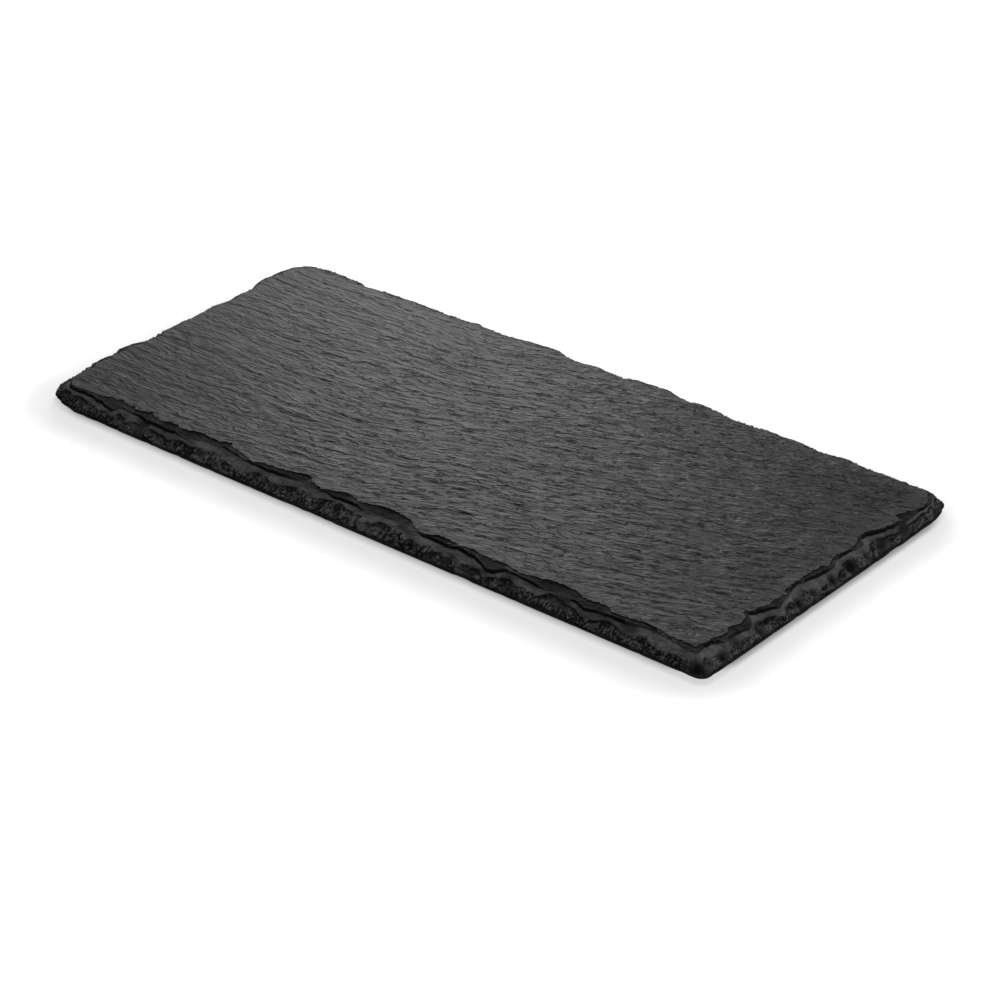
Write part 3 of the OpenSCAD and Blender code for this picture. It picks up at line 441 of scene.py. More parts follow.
class StageSettings(bpy.types.PropertyGroup):
    """Floor, light and camera"""

    floor_radius: length_property("Floor radius", "Radius of the floor", 12.0)
    floor_color: color_property("Floor", "Colour of the floor", (0.5, 0.5, 0.5))
    # The floor's glow is dimmed round the board and drifted to the front, and dimmed further under the
    # rim and drifted to the right: a painted shadow on top of the board's real one
    floor_glow: strength_property("Floor glow", "What lifts the floor round the board", 0.6)
    contact: length_property("Contact", "How far the shade right under the rim reaches", 0.004)
    contact_shade: share_property("Contact shade", "How dark the shade right under the rim is", 0.38)
    contact_drift: length_property("Contact drift", "How far the shade lies to the right", 0.0016)
    glow_near: length_property("Glow near", "Where the floor starts to turn to plain white", 0.001)
    glow_far: length_property("Glow far", "Where the floor is plain white", 0.026)
    glow_drift: length_property("Glow drift", "How far the shade lies to the front", 0.004)
    sky: strength_property("Sky", "Strength of the even light from all round", 0.06)
    top_power: power_property("Top power", "Power of the soft box above the board", 3.8)
    top_place: place_property(
        "Top place", "Place of the soft box above the board", (-0.1, 0.22, 1.0))
    top_size: length_property("Top size", "Side of the soft box above the board", 0.8)
    key_power: power_property("Key power", "Power of the soft box behind the board", 2.05)
    key_place: place_property(
        "Key place", "Place of the soft box behind the board", (-0.36, 0.45, 0.24))
    key_size: length_property("Key size", "Side of the soft box behind the board", 0.22)
    side_power: power_property("Side power", "Power of the soft box on the right", 1.9)
    side_place: place_property(
        "Side place", "Place of the soft box on the right", (0.9, -0.1, 0.17))
    side_size: length_property("Side size", "Side of the soft box on the right", 0.36)
    lens: FloatProperty(name="Lens", description="Focal length", default=113.3, min=1.0, unit="CAMERA")
    azimuth: angle_property("Azimuth", "How far round the board the camera stands", 39.78)
    elevation: angle_property("Elevation", "How far above the horizon the camera stands", 29.23)
    distance: length_property("Distance", "Distance from the camera to its target", 1.0555)
    target: place_property("Target", "Point in the middle of the picture", (0.0353, -0.0328, 0.008))


def add_node(tree, kind, inputs=None, **settings):
    """A new node of a tree. Inputs are constants, or sockets that are linked."""
    node = tree.nodes.new(kind)
    for name, value in settings.items():
        setattr(node, name, value)
    for name, value in (inputs or {}).items():
        if isinstance(value, bpy.types.NodeSocket):
            tree.links.new(value, node.inputs[name])
        else:
            node.inputs[name].default_value = value
    return node


def calc(tree, operation, *values):
    """A Math node's result."""
    return add_node(tree, "ShaderNodeMath", dict(enumerate(values)), operation=operation).outputs[0]


def ramp(tree, value, low, high, to_low=0.0, to_high=1.0, smooth=True):
    """A value's way from low to high, as a number from to_low to to_high."""
    inputs = {0: value, 1: low, 2: high, 3: to_low, 4: to_high}
    kind = "SMOOTHSTEP" if smooth else "LINEAR"
    return add_node(tree, "ShaderNodeMapRange", inputs, interpolation_type=kind).outputs[0]


def scaled(tree, vector, factors):
    """A vector with each part multiplied."""
    inputs = {0: vector, 1: factors}
    return add_node(tree, "ShaderNodeVectorMath", inputs, operation="MULTIPLY").outputs[0]


def noise(tree, vector, seed, detail=2.0, roughness=0.5, distortion=0.0):
    """Smooth noise about zero, from about -1 to 1, whose lumps are one unit wide."""
    inputs = {"Vector": vector, "W": seed, "Scale": 1.0, "Detail": detail,
              "Roughness": roughness, "Distortion": distortion}
    node = add_node(tree, "ShaderNodeTexNoise", inputs, noise_dimensions="4D")
    return calc(tree, "MULTIPLY_ADD", node.outputs[0], 2.0, -1.0)


def split(tree, vector):
    """A vector's three parts."""
    return add_node(tree, "ShaderNodeSeparateXYZ", {0: vector}).outputs


def cells(tree, vector):
    """Distance to the nearest of random points, one a unit."""
    inputs = {"Vector": vector, "Scale": 1.0}
    return add_node(tree, "ShaderNodeTexVoronoi", inputs, feature="F1").outputs["Distance"]


def chained(tree, operation, *values):
    """What an operation makes of several values, from the first on."""
    result = values[0]
    for value in values[1:]:
        result = calc(tree, operation, result, value)
    return result


def total(tree, *values):
    """The sum of several values."""
    return chained(tree, "ADD", *values)


def product(tree, *values):
    """The product of several values."""
    return chained(tree, "MULTIPLY", *values)


def highest(tree, *values):
    """The largest of several values."""
    return chained(tree, "MAXIMUM", *values)


def weighted(tree, *parts, base=None):
    """The sum of several values, each times its weight, and of the base."""
    values = [product(tree, value, weight) for value, weight in parts]
    if base is not None:
        values.append(base)
    return total(tree, *values)


def group_socket(tree, name, kind, default=None, output=False):
    """Gives a node group a named socket."""
    way = "OUTPUT" if output else "INPUT"
    made = tree.interface.new_socket(name=name, in_out=way, socket_type="NodeSocket" + kind)
    if default is not None:
        made.default_value = default


def socket_name(setting):
    """The name of the socket that takes a setting."""
    return setting.replace("_", " ").title()


def grain_lines(tree, place, seed):
    """A place's x, y and z along the grain, which wanders, and which turns at the bend from the
    long edges' direction to a slope."""
    x, y, z = split(tree, place)
    wander = noise(tree, scaled(tree, place, WANDER_RATE), seed, detail=1.0)
    sway = product(tree, wander, GRAIN_WANDER)
    past = calc(tree, "SUBTRACT", x, GRAIN_BEND)
    root = calc(tree, "SQRT", calc(tree, "MULTIPLY_ADD", past, past, BEND_LENGTH ** 2))
    rise = product(tree, total(tree, root, past), GRAIN_SLOPE / 2)
    return x, calc(tree, "SUBTRACT", total(tree, y, sway), rise), z


def liveliness(tree, place):
    """How lively the relief is: calm at the left end of the board, and lively from its middle on."""
    return ramp(tree, split(tree, place)[0], CALM_PLACE, LIVELY_PLACE, CALM_SHARE, 1.0)


def stretched(tree, lines, length, width):
    """A vector that counts ripples: one unit is one length along the grain, or one width across."""
    sizes = (length, width, width)
    parts = {axis: calc(tree, "DIVIDE", lines[axis], size) for axis, size in enumerate(sizes)}
    return add_node(tree, "ShaderNodeCombineXYZ", parts).outputs[0]


def leaves(tree, lines, length, width, seed):
    """Overlapping leaves that break towards the front: how far back in its leaf a place lies,
    from 0 at the break, and the relief, which rises steeply at the break and then falls."""
    warp = noise(
        tree, stretched(tree, lines, length, width), seed, detail=3.0, roughness=0.6)
    back = calc(tree, "MULTIPLY_ADD", warp, LEAF_WARP, calc(tree, "DIVIDE", lines[1], width))
    leaf = calc(tree, "FRACT", back)
    fall = calc(tree, "MULTIPLY_ADD", leaf, -LEAF_FALL, LEAF_FALL)
    return leaf, calc(tree, "MINIMUM", product(tree, leaf, LEAF_RISE), fall)


def scales(tree, lines, length, width, seed):
    """Rounded scales between sharp creases: 0 in a crease, and higher on a scale."""
    bumps = noise(tree, stretched(tree, lines, length, width), seed, distortion=0.5)
    return calc(tree, "ABSOLUTE", bumps)


def mesh_value(tree, name, kind="FLOAT"):
    """A named value of the mesh's points, for geometry nodes."""
    return add_node(tree, "GeometryNodeInputNamedAttribute", {"Name": name}, data_type=kind).outputs[0]


def stored(tree, geometry, name, value):
    """The geometry with a named value at its points."""
    inputs = {"Geometry": geometry, "Name": name, "Value": value}
    return add_node(tree, "GeometryNodeStoreNamedAttribute", inputs, data_type="FLOAT").outputs[0]


def riven_tree(slab):
    """Geometry nodes that give the slab its riven faces and the shards of its hewn edge."""
    tree = bpy.data.node_groups.new("Riven slate", "GeometryNodeTree")
    group_socket(tree, "Slab", "Geometry")
    for setting in RIVEN_SIZES:
        group_socket(tree, socket_name(setting), "Float", getattr(slab, setting))
    group_socket(tree, "Seed", "Int", slab.seed)
    group_socket(tree, "Slate", "Material")
    group_socket(tree, "Riven slab", "Geometry", output=True)
    given = add_node(tree, "NodeGroupInput").outputs
    seed = given["Seed"]
    place = add_node(tree, "GeometryNodeInputPosition").outputs[0]
    lines = grain_lines(tree, place, seed)

    tall, length, width = given["Ripple Height"], given["Ripple Length"], given["Ripple Width"]
    ripples = calc(tree, "SUBTRACT", scales(tree, lines, length, width, seed), SCALE_MEAN)
    swells = noise(tree, scaled(tree, place, SWELL_RATE), seed, detail=1.0)
    clefts = leaves(tree, lines, product(tree, length, LEAF_LENGTHS),
                    product(tree, width, LEAF_WIDTHS), total(tree, seed, LEAF_SEED))[1]
    riven = total(tree,
                  product(tree, tall, liveliness(tree, place), ripples),
                  product(tree, tall, SWELL_SHARE, swells),
                  product(tree, calc(tree, "SUBTRACT", clefts, LEAF_MEAN), given["Cleft Height"]))

    # The shards' place is multiplied by a noise, which jumbles those far out the most
    jumble = add_node(tree, "ShaderNodeTexNoise", {"Vector": place, "Scale": JUMBLE_RATE, "W": seed},
                      noise_dimensions="4D").outputs[1]
    jumbled = add_node(tree, "ShaderNodeVectorMath", {0: place, 1: jumble, 2: (JUMBLE_SHIFT,) * 3},
                       operation="MULTIPLY_ADD").outputs[0]
    large, small = (
        cells(tree, stretched(tree, split(tree, jumbled), *(
            product(tree, given["Shard Size"], share) for share in shares)))
        for shares in (LARGE_SHARD, SMALL_SHARD))
    crumbs = noise(tree, scaled(tree, place, CRUMB_RATE), seed, roughness=0.6)
    scoops = weighted(tree, (calc(tree, "POWER", large, 2.0), LARGE_HOLLOW),
                      (calc(tree, "POWER", small, 2.0), SMALL_HOLLOW),
                      (crumbs, CRUMB_HEIGHT), base=ROUGH_LEVEL)
    rough = product(tree, scoops, given["Rough Height"])

    riven_mask, rough_mask = mesh_value(tree, "riven"), mesh_value(tree, "rough")
    height = total(tree, product(tree, riven, riven_mask), product(tree, rough, rough_mask))
    push = mesh_value(tree, "push", "FLOAT_VECTOR")
    offset = add_node(tree, "ShaderNodeVectorMath", {0: push, "Scale": height},
                      operation="SCALE").outputs[0]
    # Ridges of the large shards, which the material paints pale: crushed-stone dust and painted
    # highlights
    ridge = product(tree, ramp(tree, large, RIDGE_FROM, RIDGE_TO), rough_mask)
    marked = stored(tree, given["Slab"], "relief", calc(tree, "DIVIDE", height, tall))
    marked = stored(tree, marked, "ridge", ridge)
    moved = add_node(tree, "GeometryNodeSetPosition", {"Geometry": marked, "Offset": offset})
    real = add_node(tree, "GeometryNodeRealizeInstances", {"Geometry": moved.outputs[0]})
    dressed = add_node(tree, "GeometryNodeSetMaterial", {
        "Geometry": real.outputs[0], "Material": given["Slate"]})
    add_node(tree, "NodeGroupOutput", {"Riven slab": dressed.outputs[0]})
    return tree


def column(tables, edges, places, index):
    """What each edge's table says at its places."""
    result = np.zeros(len(places))
    for edge, table in enumerate(tables):
        rows = np.array(table)
        here = edges == edge
        result[here] = np.interp(places[here], rows[:, 0], rows[:, index])
    return result


class Outline:
    """Stations round the slab: where each lies along its edge, or on the corner after it."""

    def __init__(self, slab):
        self.lengths = np.array([slab.length, slab.width, slab.length, slab.width])
        self.radii = np.array(slab.corner_radii)
        self.crust_radii = np.array(slab.crust_radii)
        self.rim = RIM_SHARE * slab.hewn_width
        self.face = FACE_SHARE * slab.hewn_width
        largest = max(self.radii.max(), self.crust_radii.max())
        self.reach = largest + CORNER_REACH_SHARE * slab.hewn_width
        self.ends = 0.5 - self.reach / self.lengths
        corner_steps = 2 * round(self.reach / slab.station_step)
        edges, places, shares = [], [], []
        self.middles = []
        for edge in range(4):
            steps = round(2 * self.ends[edge] * self.lengths[edge] / slab.station_step)
            edges += [edge] * (steps + corner_steps)
            places += list(np.linspace(-self.ends[edge], self.ends[edge], steps + 1))
            places += [0.0] * (corner_steps - 1)
            self.middles.append(len(shares) + steps + corner_steps // 2)
            shares += [-1.0] * (steps + 1)
            shares += list(np.arange(1, corner_steps) / corner_steps)
        self.edge = np.array(edges)
        self.after = (self.edge + 1) % 4
        self.place = np.array(places)
        self.share = np.array(shares)
        self.on_corner = self.share >= 0
        self.count = len(edges)

    def radius(self, inset):
        """Radius of each station's corner at an inset."""
        lower = self.radii[self.edge] * np.interp(inset, (0, self.rim), (1, 0))
        upper = self.crust_radii[self.edge] * np.interp(inset, (0, self.rim, self.face), (0, 1, 0))
        return lower + upper

    def run(self, inset):
        """Straight stretch before the arc of each station's corner."""
        return self.reach - inset - self.radius(inset)

    def path(self, inset):
        """Length of each station's corner path at an inset."""
        return 2 * self.run(inset) + math.pi / 2 * self.radius(inset)

    def turn(self, inset):
        """How far round the arc each station lies, from 0 before it to 1 past it."""
        arc = np.maximum(math.pi / 2 * self.radius(inset), TINY)
        past = self.share * self.path(inset) - self.run(inset)
        return np.where(self.on_corner, np.clip(past / arc, 0, 1), 0)

    def outward(self, turn):
        """The direction straight out of the slab at each station."""
        angle = math.pi / 2 * turn[:, None]
        return OUTWARDS[self.edge] * np.cos(angle) + OUTWARDS[self.after] * np.sin(angle)

    def before(self, inset):
        """How far before its corner's arc each station lies."""
        return np.maximum(0, self.run(inset) - self.share * self.path(inset))

    def beyond(self, inset):
        """How far past its corner's arc each station lies."""
        return np.maximum(0, self.run(inset) - (1 - self.share) * self.path(inset))

    def points(self, inset):
        """Each station's point in plan, at its own inset."""
        along, onward = DIRECTIONS[self.edge], DIRECTIONS[self.after]
        across = self.lengths[self.after] / 2
        straight = along * (self.place * self.lengths[self.edge])[:, None]
        straight = straight + OUTWARDS[self.edge] * (across - inset)[:, None]
        radius = self.radius(inset)
        reach = radius + inset
        bend = OUTWARDS[self.edge] * (across - reach)[:, None]
        bend = bend + along * (self.lengths[self.edge] / 2 - reach - self.before(inset))[:, None]
        bend = bend + onward * self.beyond(inset)[:, None]
        bend = bend + self.outward(self.turn(inset)) * radius[:, None]
        return np.where(self.on_corner[:, None], bend, straight)

    def table(self, tables, index, inset=None):
        """What the tables say at each station, blended from one edge to the next round a corner."""
        at = np.full(self.count, self.rim if inset is None else inset)
        run = self.run(at)
        near = self.ends[self.edge] + (run - self.before(at)) / self.lengths[self.edge]
        far = -self.ends[self.after] - (run - self.beyond(at)) / self.lengths[self.after]
        here = column(tables, self.edge, np.where(self.on_corner, near, self.place), index)
        there = column(tables, self.after, far, index)
        turn = self.turn(at)
        return np.where(self.on_corner, here + (there - here) * turn, here)

    def hollow(self):
        """How far each station lies into its scar, 0 at a ridge and 1 in the middle; and the
        scar's number."""
        result = np.zeros(self.count)
        number = np.zeros(self.count, int)
        for edge, ridges in enumerate(RIDGE_SHARES):
            here = (self.edge == edge) & ~self.on_corner
            places = self.place[here]
            slot = np.searchsorted(ridges, places)
            inside = (slot > 0) & (slot < len(ridges))
            low = np.array(ridges)[np.clip(slot - 1, 0, len(ridges) - 1)]
            high = np.array(ridges)[np.clip(slot, 0, len(ridges) - 1)]
            t = np.where(inside, (places - low) / np.maximum(high - low, TINY), 0)
            result[here] = 4 * t * (1 - t)
            number[here] = slot + number.max() + 1
        return result, number


def ragged(count, kinks, rng):
    """Uneven values from -1 to 1 round a closed loop of points, with so many kinks."""
    values = rng.uniform(-1, 1, kinks)
    places = np.arange(count) * kinks / count
    return np.interp(places, np.arange(kinks + 1), np.append(values, values[0]))


def edge_rings(slab, outline, rng):
    """The rings of the hewn edge from the underside up: inset, height and masks of each."""
    hewn = slab.hewn_width
    around = 2 * (slab.length + slab.width)
    chips, nicks, band_nicks, crust_nicks, splinters, pits, caves = (
        ragged(outline.count, round(around / spacing), rng)
        for spacing in (CHIP_SPACING, NICK_SPACING, NICK_SPACING, NICK_SPACING, SPLINTER_SPACING,
                        NICK_SPACING, CHIP_SPACING))
    nick = slab.nick_depth * np.maximum(0, NICK_GAIN * (chips + nicks))
    nick = nick + hewn * outline.table(TAPER_SHARES, 1, 0.0)
    leaf_fall = slab.leaf_step * outline.table(LEAF_SHARES, 2)
    crust_depth = outline.table(CRUST_SHARES, 2)
    crust_fall = slab.crust_step * crust_depth ** STEP_POWER
    leaf_rim = hewn * (outline.table(LEAF_SHARES, 1) + SPLINTER_SHARE * splinters)
    crust_rim = hewn * (outline.table(CRUST_SHARES, 1) + CRUST_NICK_SHARE * crust_nicks)
    crust_rim = np.minimum(crust_rim, leaf_rim - 2 * slab.step_lean - LEDGE_SHARE * hewn)
    crust_top = crust_rim + slab.step_lean
    leaf_foot = leaf_rim - slab.step_lean
    foot_gap = np.minimum(FOOT_GAP, FOOT_GAP_SHARE * (leaf_foot - crust_rim))
    ledge_top = slab.thickness - leaf_fall
    ledge_low = ledge_top - LEDGE_FALL_SHARE * (leaf_foot - crust_rim - slab.step_lean)
    crust_foot = ledge_low - crust_fall
    band = outline.table(BAND_SHARES, 1) + BAND_NICK_SHARE * band_nicks + BAND_PIT_SHARE * pits
    band_in = nick + (crust_rim - nick) * band
    band_top = slab.rim_height + (crust_foot - slab.rim_height) * band + slab.shoulder
    hollow, scar_number = outline.hollow()
    scar = slab.scar_depth * hollow
    # Painted shade in each scar's hollow, deepest in its middle, with a random depth for each scar
    darkness = SCAR_SHADE * rng.uniform(0, 1, 1 + scar_number.max())
    scar_shade = darkness[scar_number] * np.sqrt(hollow)
    # Painted shade in the caves over the rough band, on the crust's step and on the ledges
    cave_shade = np.clip(pits + CAVE_GAIN * caves + CAVE_SHADE, 0, 1)
    step_shade = np.clip(
        STEP_SHADE * crust_depth + STEP_NICK_SHADE * crust_nicks - STEP_LIGHT, 0, 1)
    ledge_shade = np.clip(
        NARROW_SHADE + WIDTH_SHADE * (leaf_foot - crust_rim) / hewn, 0, WIDE_SHADE)
    zero = np.zeros(outline.count)
    whole = np.full(outline.count, slab.thickness)

    def up_band(t):
        """A line in the rough band, so far up it."""
        return nick + (band_in - nick) * t, slab.rim_height + (band_top - slab.rim_height) * t

    def up_scar(t):
        """A line in the scars, so far up them."""
        return band_in + (crust_rim - band_in) * t, band_top + (crust_foot - band_top) * t

    # Each zone: its rings, the inset and height of the last one, and the sag in its middle;
    # then the masks of its last ring: rough, riven, hewn and painted shade; and how late the
    # painted shade sets in. Painted shade darkens the foot of the slope, the caves, the scars'
    # hollows, the crust's step, the ledges and the foot of the leaf's step.
    zones = [
        (1, nick, zero + slab.rim_height, zero, (0.3, 0.0, 1.0, 0.9), 1),
        (1, *up_band(0.12), zero, (1.0, 0.0, 1.0, 0.85), 1),
        (1, *up_band(0.28), zero, (1.0, 0.0, 1.0, 0.05), 1),
        (5, band_in, band_top, zero, (1.0, 0.0, 1.0, 0.9 * cave_shade), 4),
        (1, *up_scar(0.14), zero, (0.2, 0.0, 1.0, cave_shade), 1),
        (3, *up_scar(0.86), scar, (0.05, 0.0, 0.95, scar_shade), 0.3),
        (1, crust_rim, crust_foot, zero, (0.05, 0.0, 0.9, step_shade), 1),
        (1, crust_top, ledge_low, zero, (0.05, 0.3, 0.6, step_shade), 1),
        (1, crust_top + foot_gap / 2, ledge_low, zero, (0.05, 0.3, 0.2, ledge_shade), 1),
        (2, leaf_foot - foot_gap, ledge_top, zero, (0.1, 0.5, 0.2, ledge_shade), 1),
        (1, leaf_foot, ledge_top, zero, (0.1, 0.5, 0.2, 1.0), 1),
        (2, leaf_rim, whole, zero, (0.0, 0.8, 0.2, 0.0), 4),
        (5, zero + outline.face, whole, zero, (0.0, 1.0, 0.0, 0.0), 1),
    ]
    # The first ring is the underside's rim, darkened by painted shade. A fully rough zone is so from
    # its first ring on.
    rings = [(nick, zero, np.tile((0.0, 0.0, 1.0, 0.7), (outline.count, 1)))]
    for steps, inset, height, sag, masks, ease in zones:
        start = rings[-1]
        masks = np.column_stack([zero + mask for mask in masks])
        for step in range(1, steps + 1):
            t = step / steps
            inner = start[0] + (inset - start[0]) * t
            rise = start[1] + (height - start[1]) * t - sag * 4 * t * (1 - t)
            blend = np.array((1.0 if masks[0, 0] == 1 else t, t, t, t ** ease))
            rings.append((inner, rise, start[2] + (masks - start[2]) * blend))
    return rings


def zip_rows(outer, inner, outer_at, inner_at):
    """Triangles between two rows of points that run the same way, the outer row on the right."""
    faces = []
    i = j = 0
    while i < len(outer) - 1 or j < len(inner) - 1:
        last = j == len(inner) - 1
        if last or (i < len(outer) - 1 and outer_at[i + 1] <= inner_at[j + 1]):
            faces.append((outer[i], outer[i + 1], inner[j]))
            i += 1
        else:
            faces.append((outer[i], inner[j + 1], inner[j]))
            j += 1
    return faces


def field(first, half_x, half_y, height, step_x, step_y):
    """A rectangular grid of points: the points, its faces and its four boundary rows."""
    nx, ny = round(2 * half_x / step_x), round(2 * half_y / step_y)
    x, y = np.meshgrid(np.linspace(-half_x, half_x, nx + 1), np.linspace(-half_y, half_y, ny + 1))
    points = np.column_stack([x.ravel(), y.ravel(), np.full(x.size, height)])
    index = first + np.arange(x.size).reshape(ny + 1, nx + 1)
    faces = np.column_stack([index[:-1, :-1].ravel(), index[:-1, 1:].ravel(),
                             index[1:, 1:].ravel(), index[1:, :-1].ravel()])
    rows = [index[0], index[:, -1], index[-1, ::-1], index[::-1, 0]]
    return points, faces.tolist(), rows


def join_field(points, loop, outline, rows):
    """Triangles from a closed ring of stations to the boundary rows of a field."""
    faces = []
    for side in range(4):
        start, stop = outline.middles[side - 1], outline.middles[side]
        if stop < start:
            stop += outline.count
        outer = [loop[k % outline.count] for k in range(start, stop + 1)]
        inner = rows[side]
        way = DIRECTIONS[side]
        ways = [points[np.array(row)][:, :2] @ way for row in (outer, inner)]
        spans = [(w - w[0]) / (w[-1] - w[0]) for w in ways]
        faces += zip_rows(outer, list(inner), *spans)
    return faces


def chipped(points, push, hewn):
    """The points with the chips struck out of the slope, and the painted shade in each chip's hollow.
    """
    result = points.copy()
    chip_shade = np.zeros(len(points))
    half = np.array([SLAB_HIGH.x - SLAB_LOW.x, SLAB_HIGH.y - SLAB_LOW.y]) / 2
    above = np.clip((points[:, 2] - SLAB_LOW.z) / CHIP_FADE, 0, 1)
    for edge, place, inset, length, width, depth, turn in CHIP_SHARES:
        along, out = DIRECTIONS[edge], OUTWARDS[edge]
        across = abs(out @ half) - inset * hewn
        centre = along * place * 2 * abs(along @ half) + out * across
        angle = math.pi / 2 * turn
        facing = out * math.cos(angle) + along * math.sin(angle)
        side = np.array([-facing[1], facing[0]])
        offset = points[:, :2] - centre
        lengthwise = (offset @ side) / (length * hewn / 2)
        crosswise = (offset @ facing) / (width * hewn / 2)
        scoop = np.maximum(0, 1 - (lengthwise ** 2 + crosswise ** 2)) * depth * hewn * above
        result -= push * scoop[:, None]
        chip_shade = np.maximum(chip_shade, np.clip(CHIP_SHADE * scoop / hewn, 0, 1))
    return result, chip_shade


def slab_mesh(slab):
    """The slab before its relief: the rings of its edge, its face and its underside."""
    outline = Outline(slab)
    rings = edge_rings(slab, outline, np.random.default_rng(slab.seed))
    turn = outline.turn(np.full(outline.count, outline.rim))
    outward = outline.outward(turn)
    points, push, masks = [], [], []
    for inset, height, mask in rings:
        plan = outline.points(inset)
        points.append(np.column_stack([plan, height + slab.underside]))
        tilt = PUSH_LEAN + (math.pi / 2 - PUSH_LEAN) * mask[:, 1]
        push.append(np.column_stack([outward * np.cos(tilt)[:, None], np.sin(tilt)]))
        masks.append(mask)
    points, push, masks = np.vstack(points), np.vstack(push), np.vstack(masks)
    struck = masks[:, 2] > CHIP_MASK
    points, chip_shade = chipped(points, push * struck[:, None], slab.hewn_width)
    # The chips' hollows get painted shade, and lose some of their roughness
    masks[:, 3] = np.maximum(masks[:, 3], chip_shade * struck)
    masks[:, 0] *= 1 - CHIP_SMOOTH * chip_shade * struck
    count = outline.count
    ring = np.arange(count)
    onward = (ring + 1) % count
    faces = []
    for low in range(0, (len(rings) - 1) * count, count):
        high = low + count
        faces += np.column_stack([low + ring, low + onward, high + onward, high + ring]).tolist()

    # The face's field lies just inside the last ring, and the underside's inside the corners
    half_x, half_y = slab.length / 2 - outline.face, slab.width / 2 - outline.face
    grid, grid_faces, rows = field(
        len(points), half_x - FIELD_GAP, half_y - FIELD_GAP, slab.underside + slab.thickness,
        slab.grain_step, slab.cross_step)
    last = (len(rings) - 1) * count
    points = np.vstack([points, grid])
    push = np.vstack([push, np.tile((0, 0, 1), (len(grid), 1))])
    masks = np.vstack([masks, np.tile((0, 1, 0, 0), (len(grid), 1))])
    faces += grid_faces
    faces += join_field(points, list(range(last, last + count)), outline, rows)

    under_inset = UNDER_SHARE * slab.hewn_width
    grid, grid_faces, rows = field(
        len(points), slab.length / 2 - under_inset, slab.width / 2 - under_inset,
        slab.underside, slab.under_step, slab.under_step)
    pad_x, pad_y = (PAD_LOW.x + PAD_HIGH.x) / 2, (PAD_LOW.y + PAD_HIGH.y) / 2
    pad_width = PAD_HIGH.x - PAD_LOW.x
    spread = np.hypot(abs(grid[:, 0]) - abs(pad_x), abs(grid[:, 1]) - abs(pad_y))
    riven = UNDER_RELIEF * np.clip((spread - PAD_CLEARANCE * pad_width) / pad_width, 0, 1)
    points = np.vstack([points, grid])
    push = np.vstack([push, np.tile((0, 0, -1), (len(grid), 1))])
    masks = np.vstack([masks, np.column_stack([0 * riven, riven, 0 * riven, 0 * riven])])
    faces += [face[::-1] for face in grid_faces]
    faces += [face[::-1] for face in join_field(points, list(range(count)), outline, rows)]

    mesh = bpy.data.meshes.new("slab")
    mesh.from_pydata(points.tolist(), [], faces)
    for index, name in enumerate(("rough", "riven", "hewn", "shade")):
        mesh.attributes.new(name, "FLOAT", "POINT").data.foreach_set(
            "value", masks[:, index].astype(np.float32))
    mesh.attributes.new("push", "FLOAT_VECTOR", "POINT").data.foreach_set(
        "vector", push.astype(np.float32).ravel())
    mesh.validate()
    return mesh


def add_object(name, mesh):
    """A new object at the origin that shows a mesh."""
    made = bpy.data.objects.new(name, mesh)
    bpy.context.scene.collection.objects.link(made)
    return made


def with_nodes(piece, tree, values):
    """The piece's mesh becomes what a geometry node tree makes of it, given its named inputs."""
    modifier = piece.modifiers.new(tree.name, "NODES")
    modifier.node_group = tree
    for socket in tree.interface.items_tree:
        if socket.in_out == "INPUT" and socket.name in values:
            modifier[socket.identifier] = values[socket.name]
    graph = bpy.context.evaluated_depsgraph_get()
    evaluated = piece.evaluated_get(graph)
    made = bpy.data.meshes.new_from_object(evaluated, preserve_all_data_layers=True, depsgraph=graph)
    piece.modifiers.remove(modifier)
    piece.data = made


def new_material(name):
    """A material with a Principled shader: its tree, and the shader."""
    material = bpy.data.materials.new(name)
    material.use_nodes = True
    tree = material.node_tree
    tree.nodes.clear()
    shader = add_node(tree, "ShaderNodeBsdfPrincipled")
    add_node(tree, "ShaderNodeOutputMaterial", {"Surface": shader.outputs[0]})
    return material, tree, shader


def link_into(tree, socket, shader, name):
    """Links a socket to one of the shader's inputs."""
    tree.links.new(socket, shader.inputs[name])


def object_place(tree):
    """A surface point's place in the object."""
    return add_node(tree, "ShaderNodeTexCoord").outputs["Object"]


def placed_group(tree, group, place, values):
    """The outputs of a shared group in a material, with the material's own values."""
    return add_node(tree, "ShaderNodeGroup", {"Vector": place, **values}, node_tree=group).outputs


def set_bump(tree, height, shader):
    """Gives the shader the bump of a height in metres."""
    bump = add_node(tree, "ShaderNodeBump", {"Height": height, "Distance": 1.0})
    link_into(tree, bump.outputs[0], shader, "Normal")


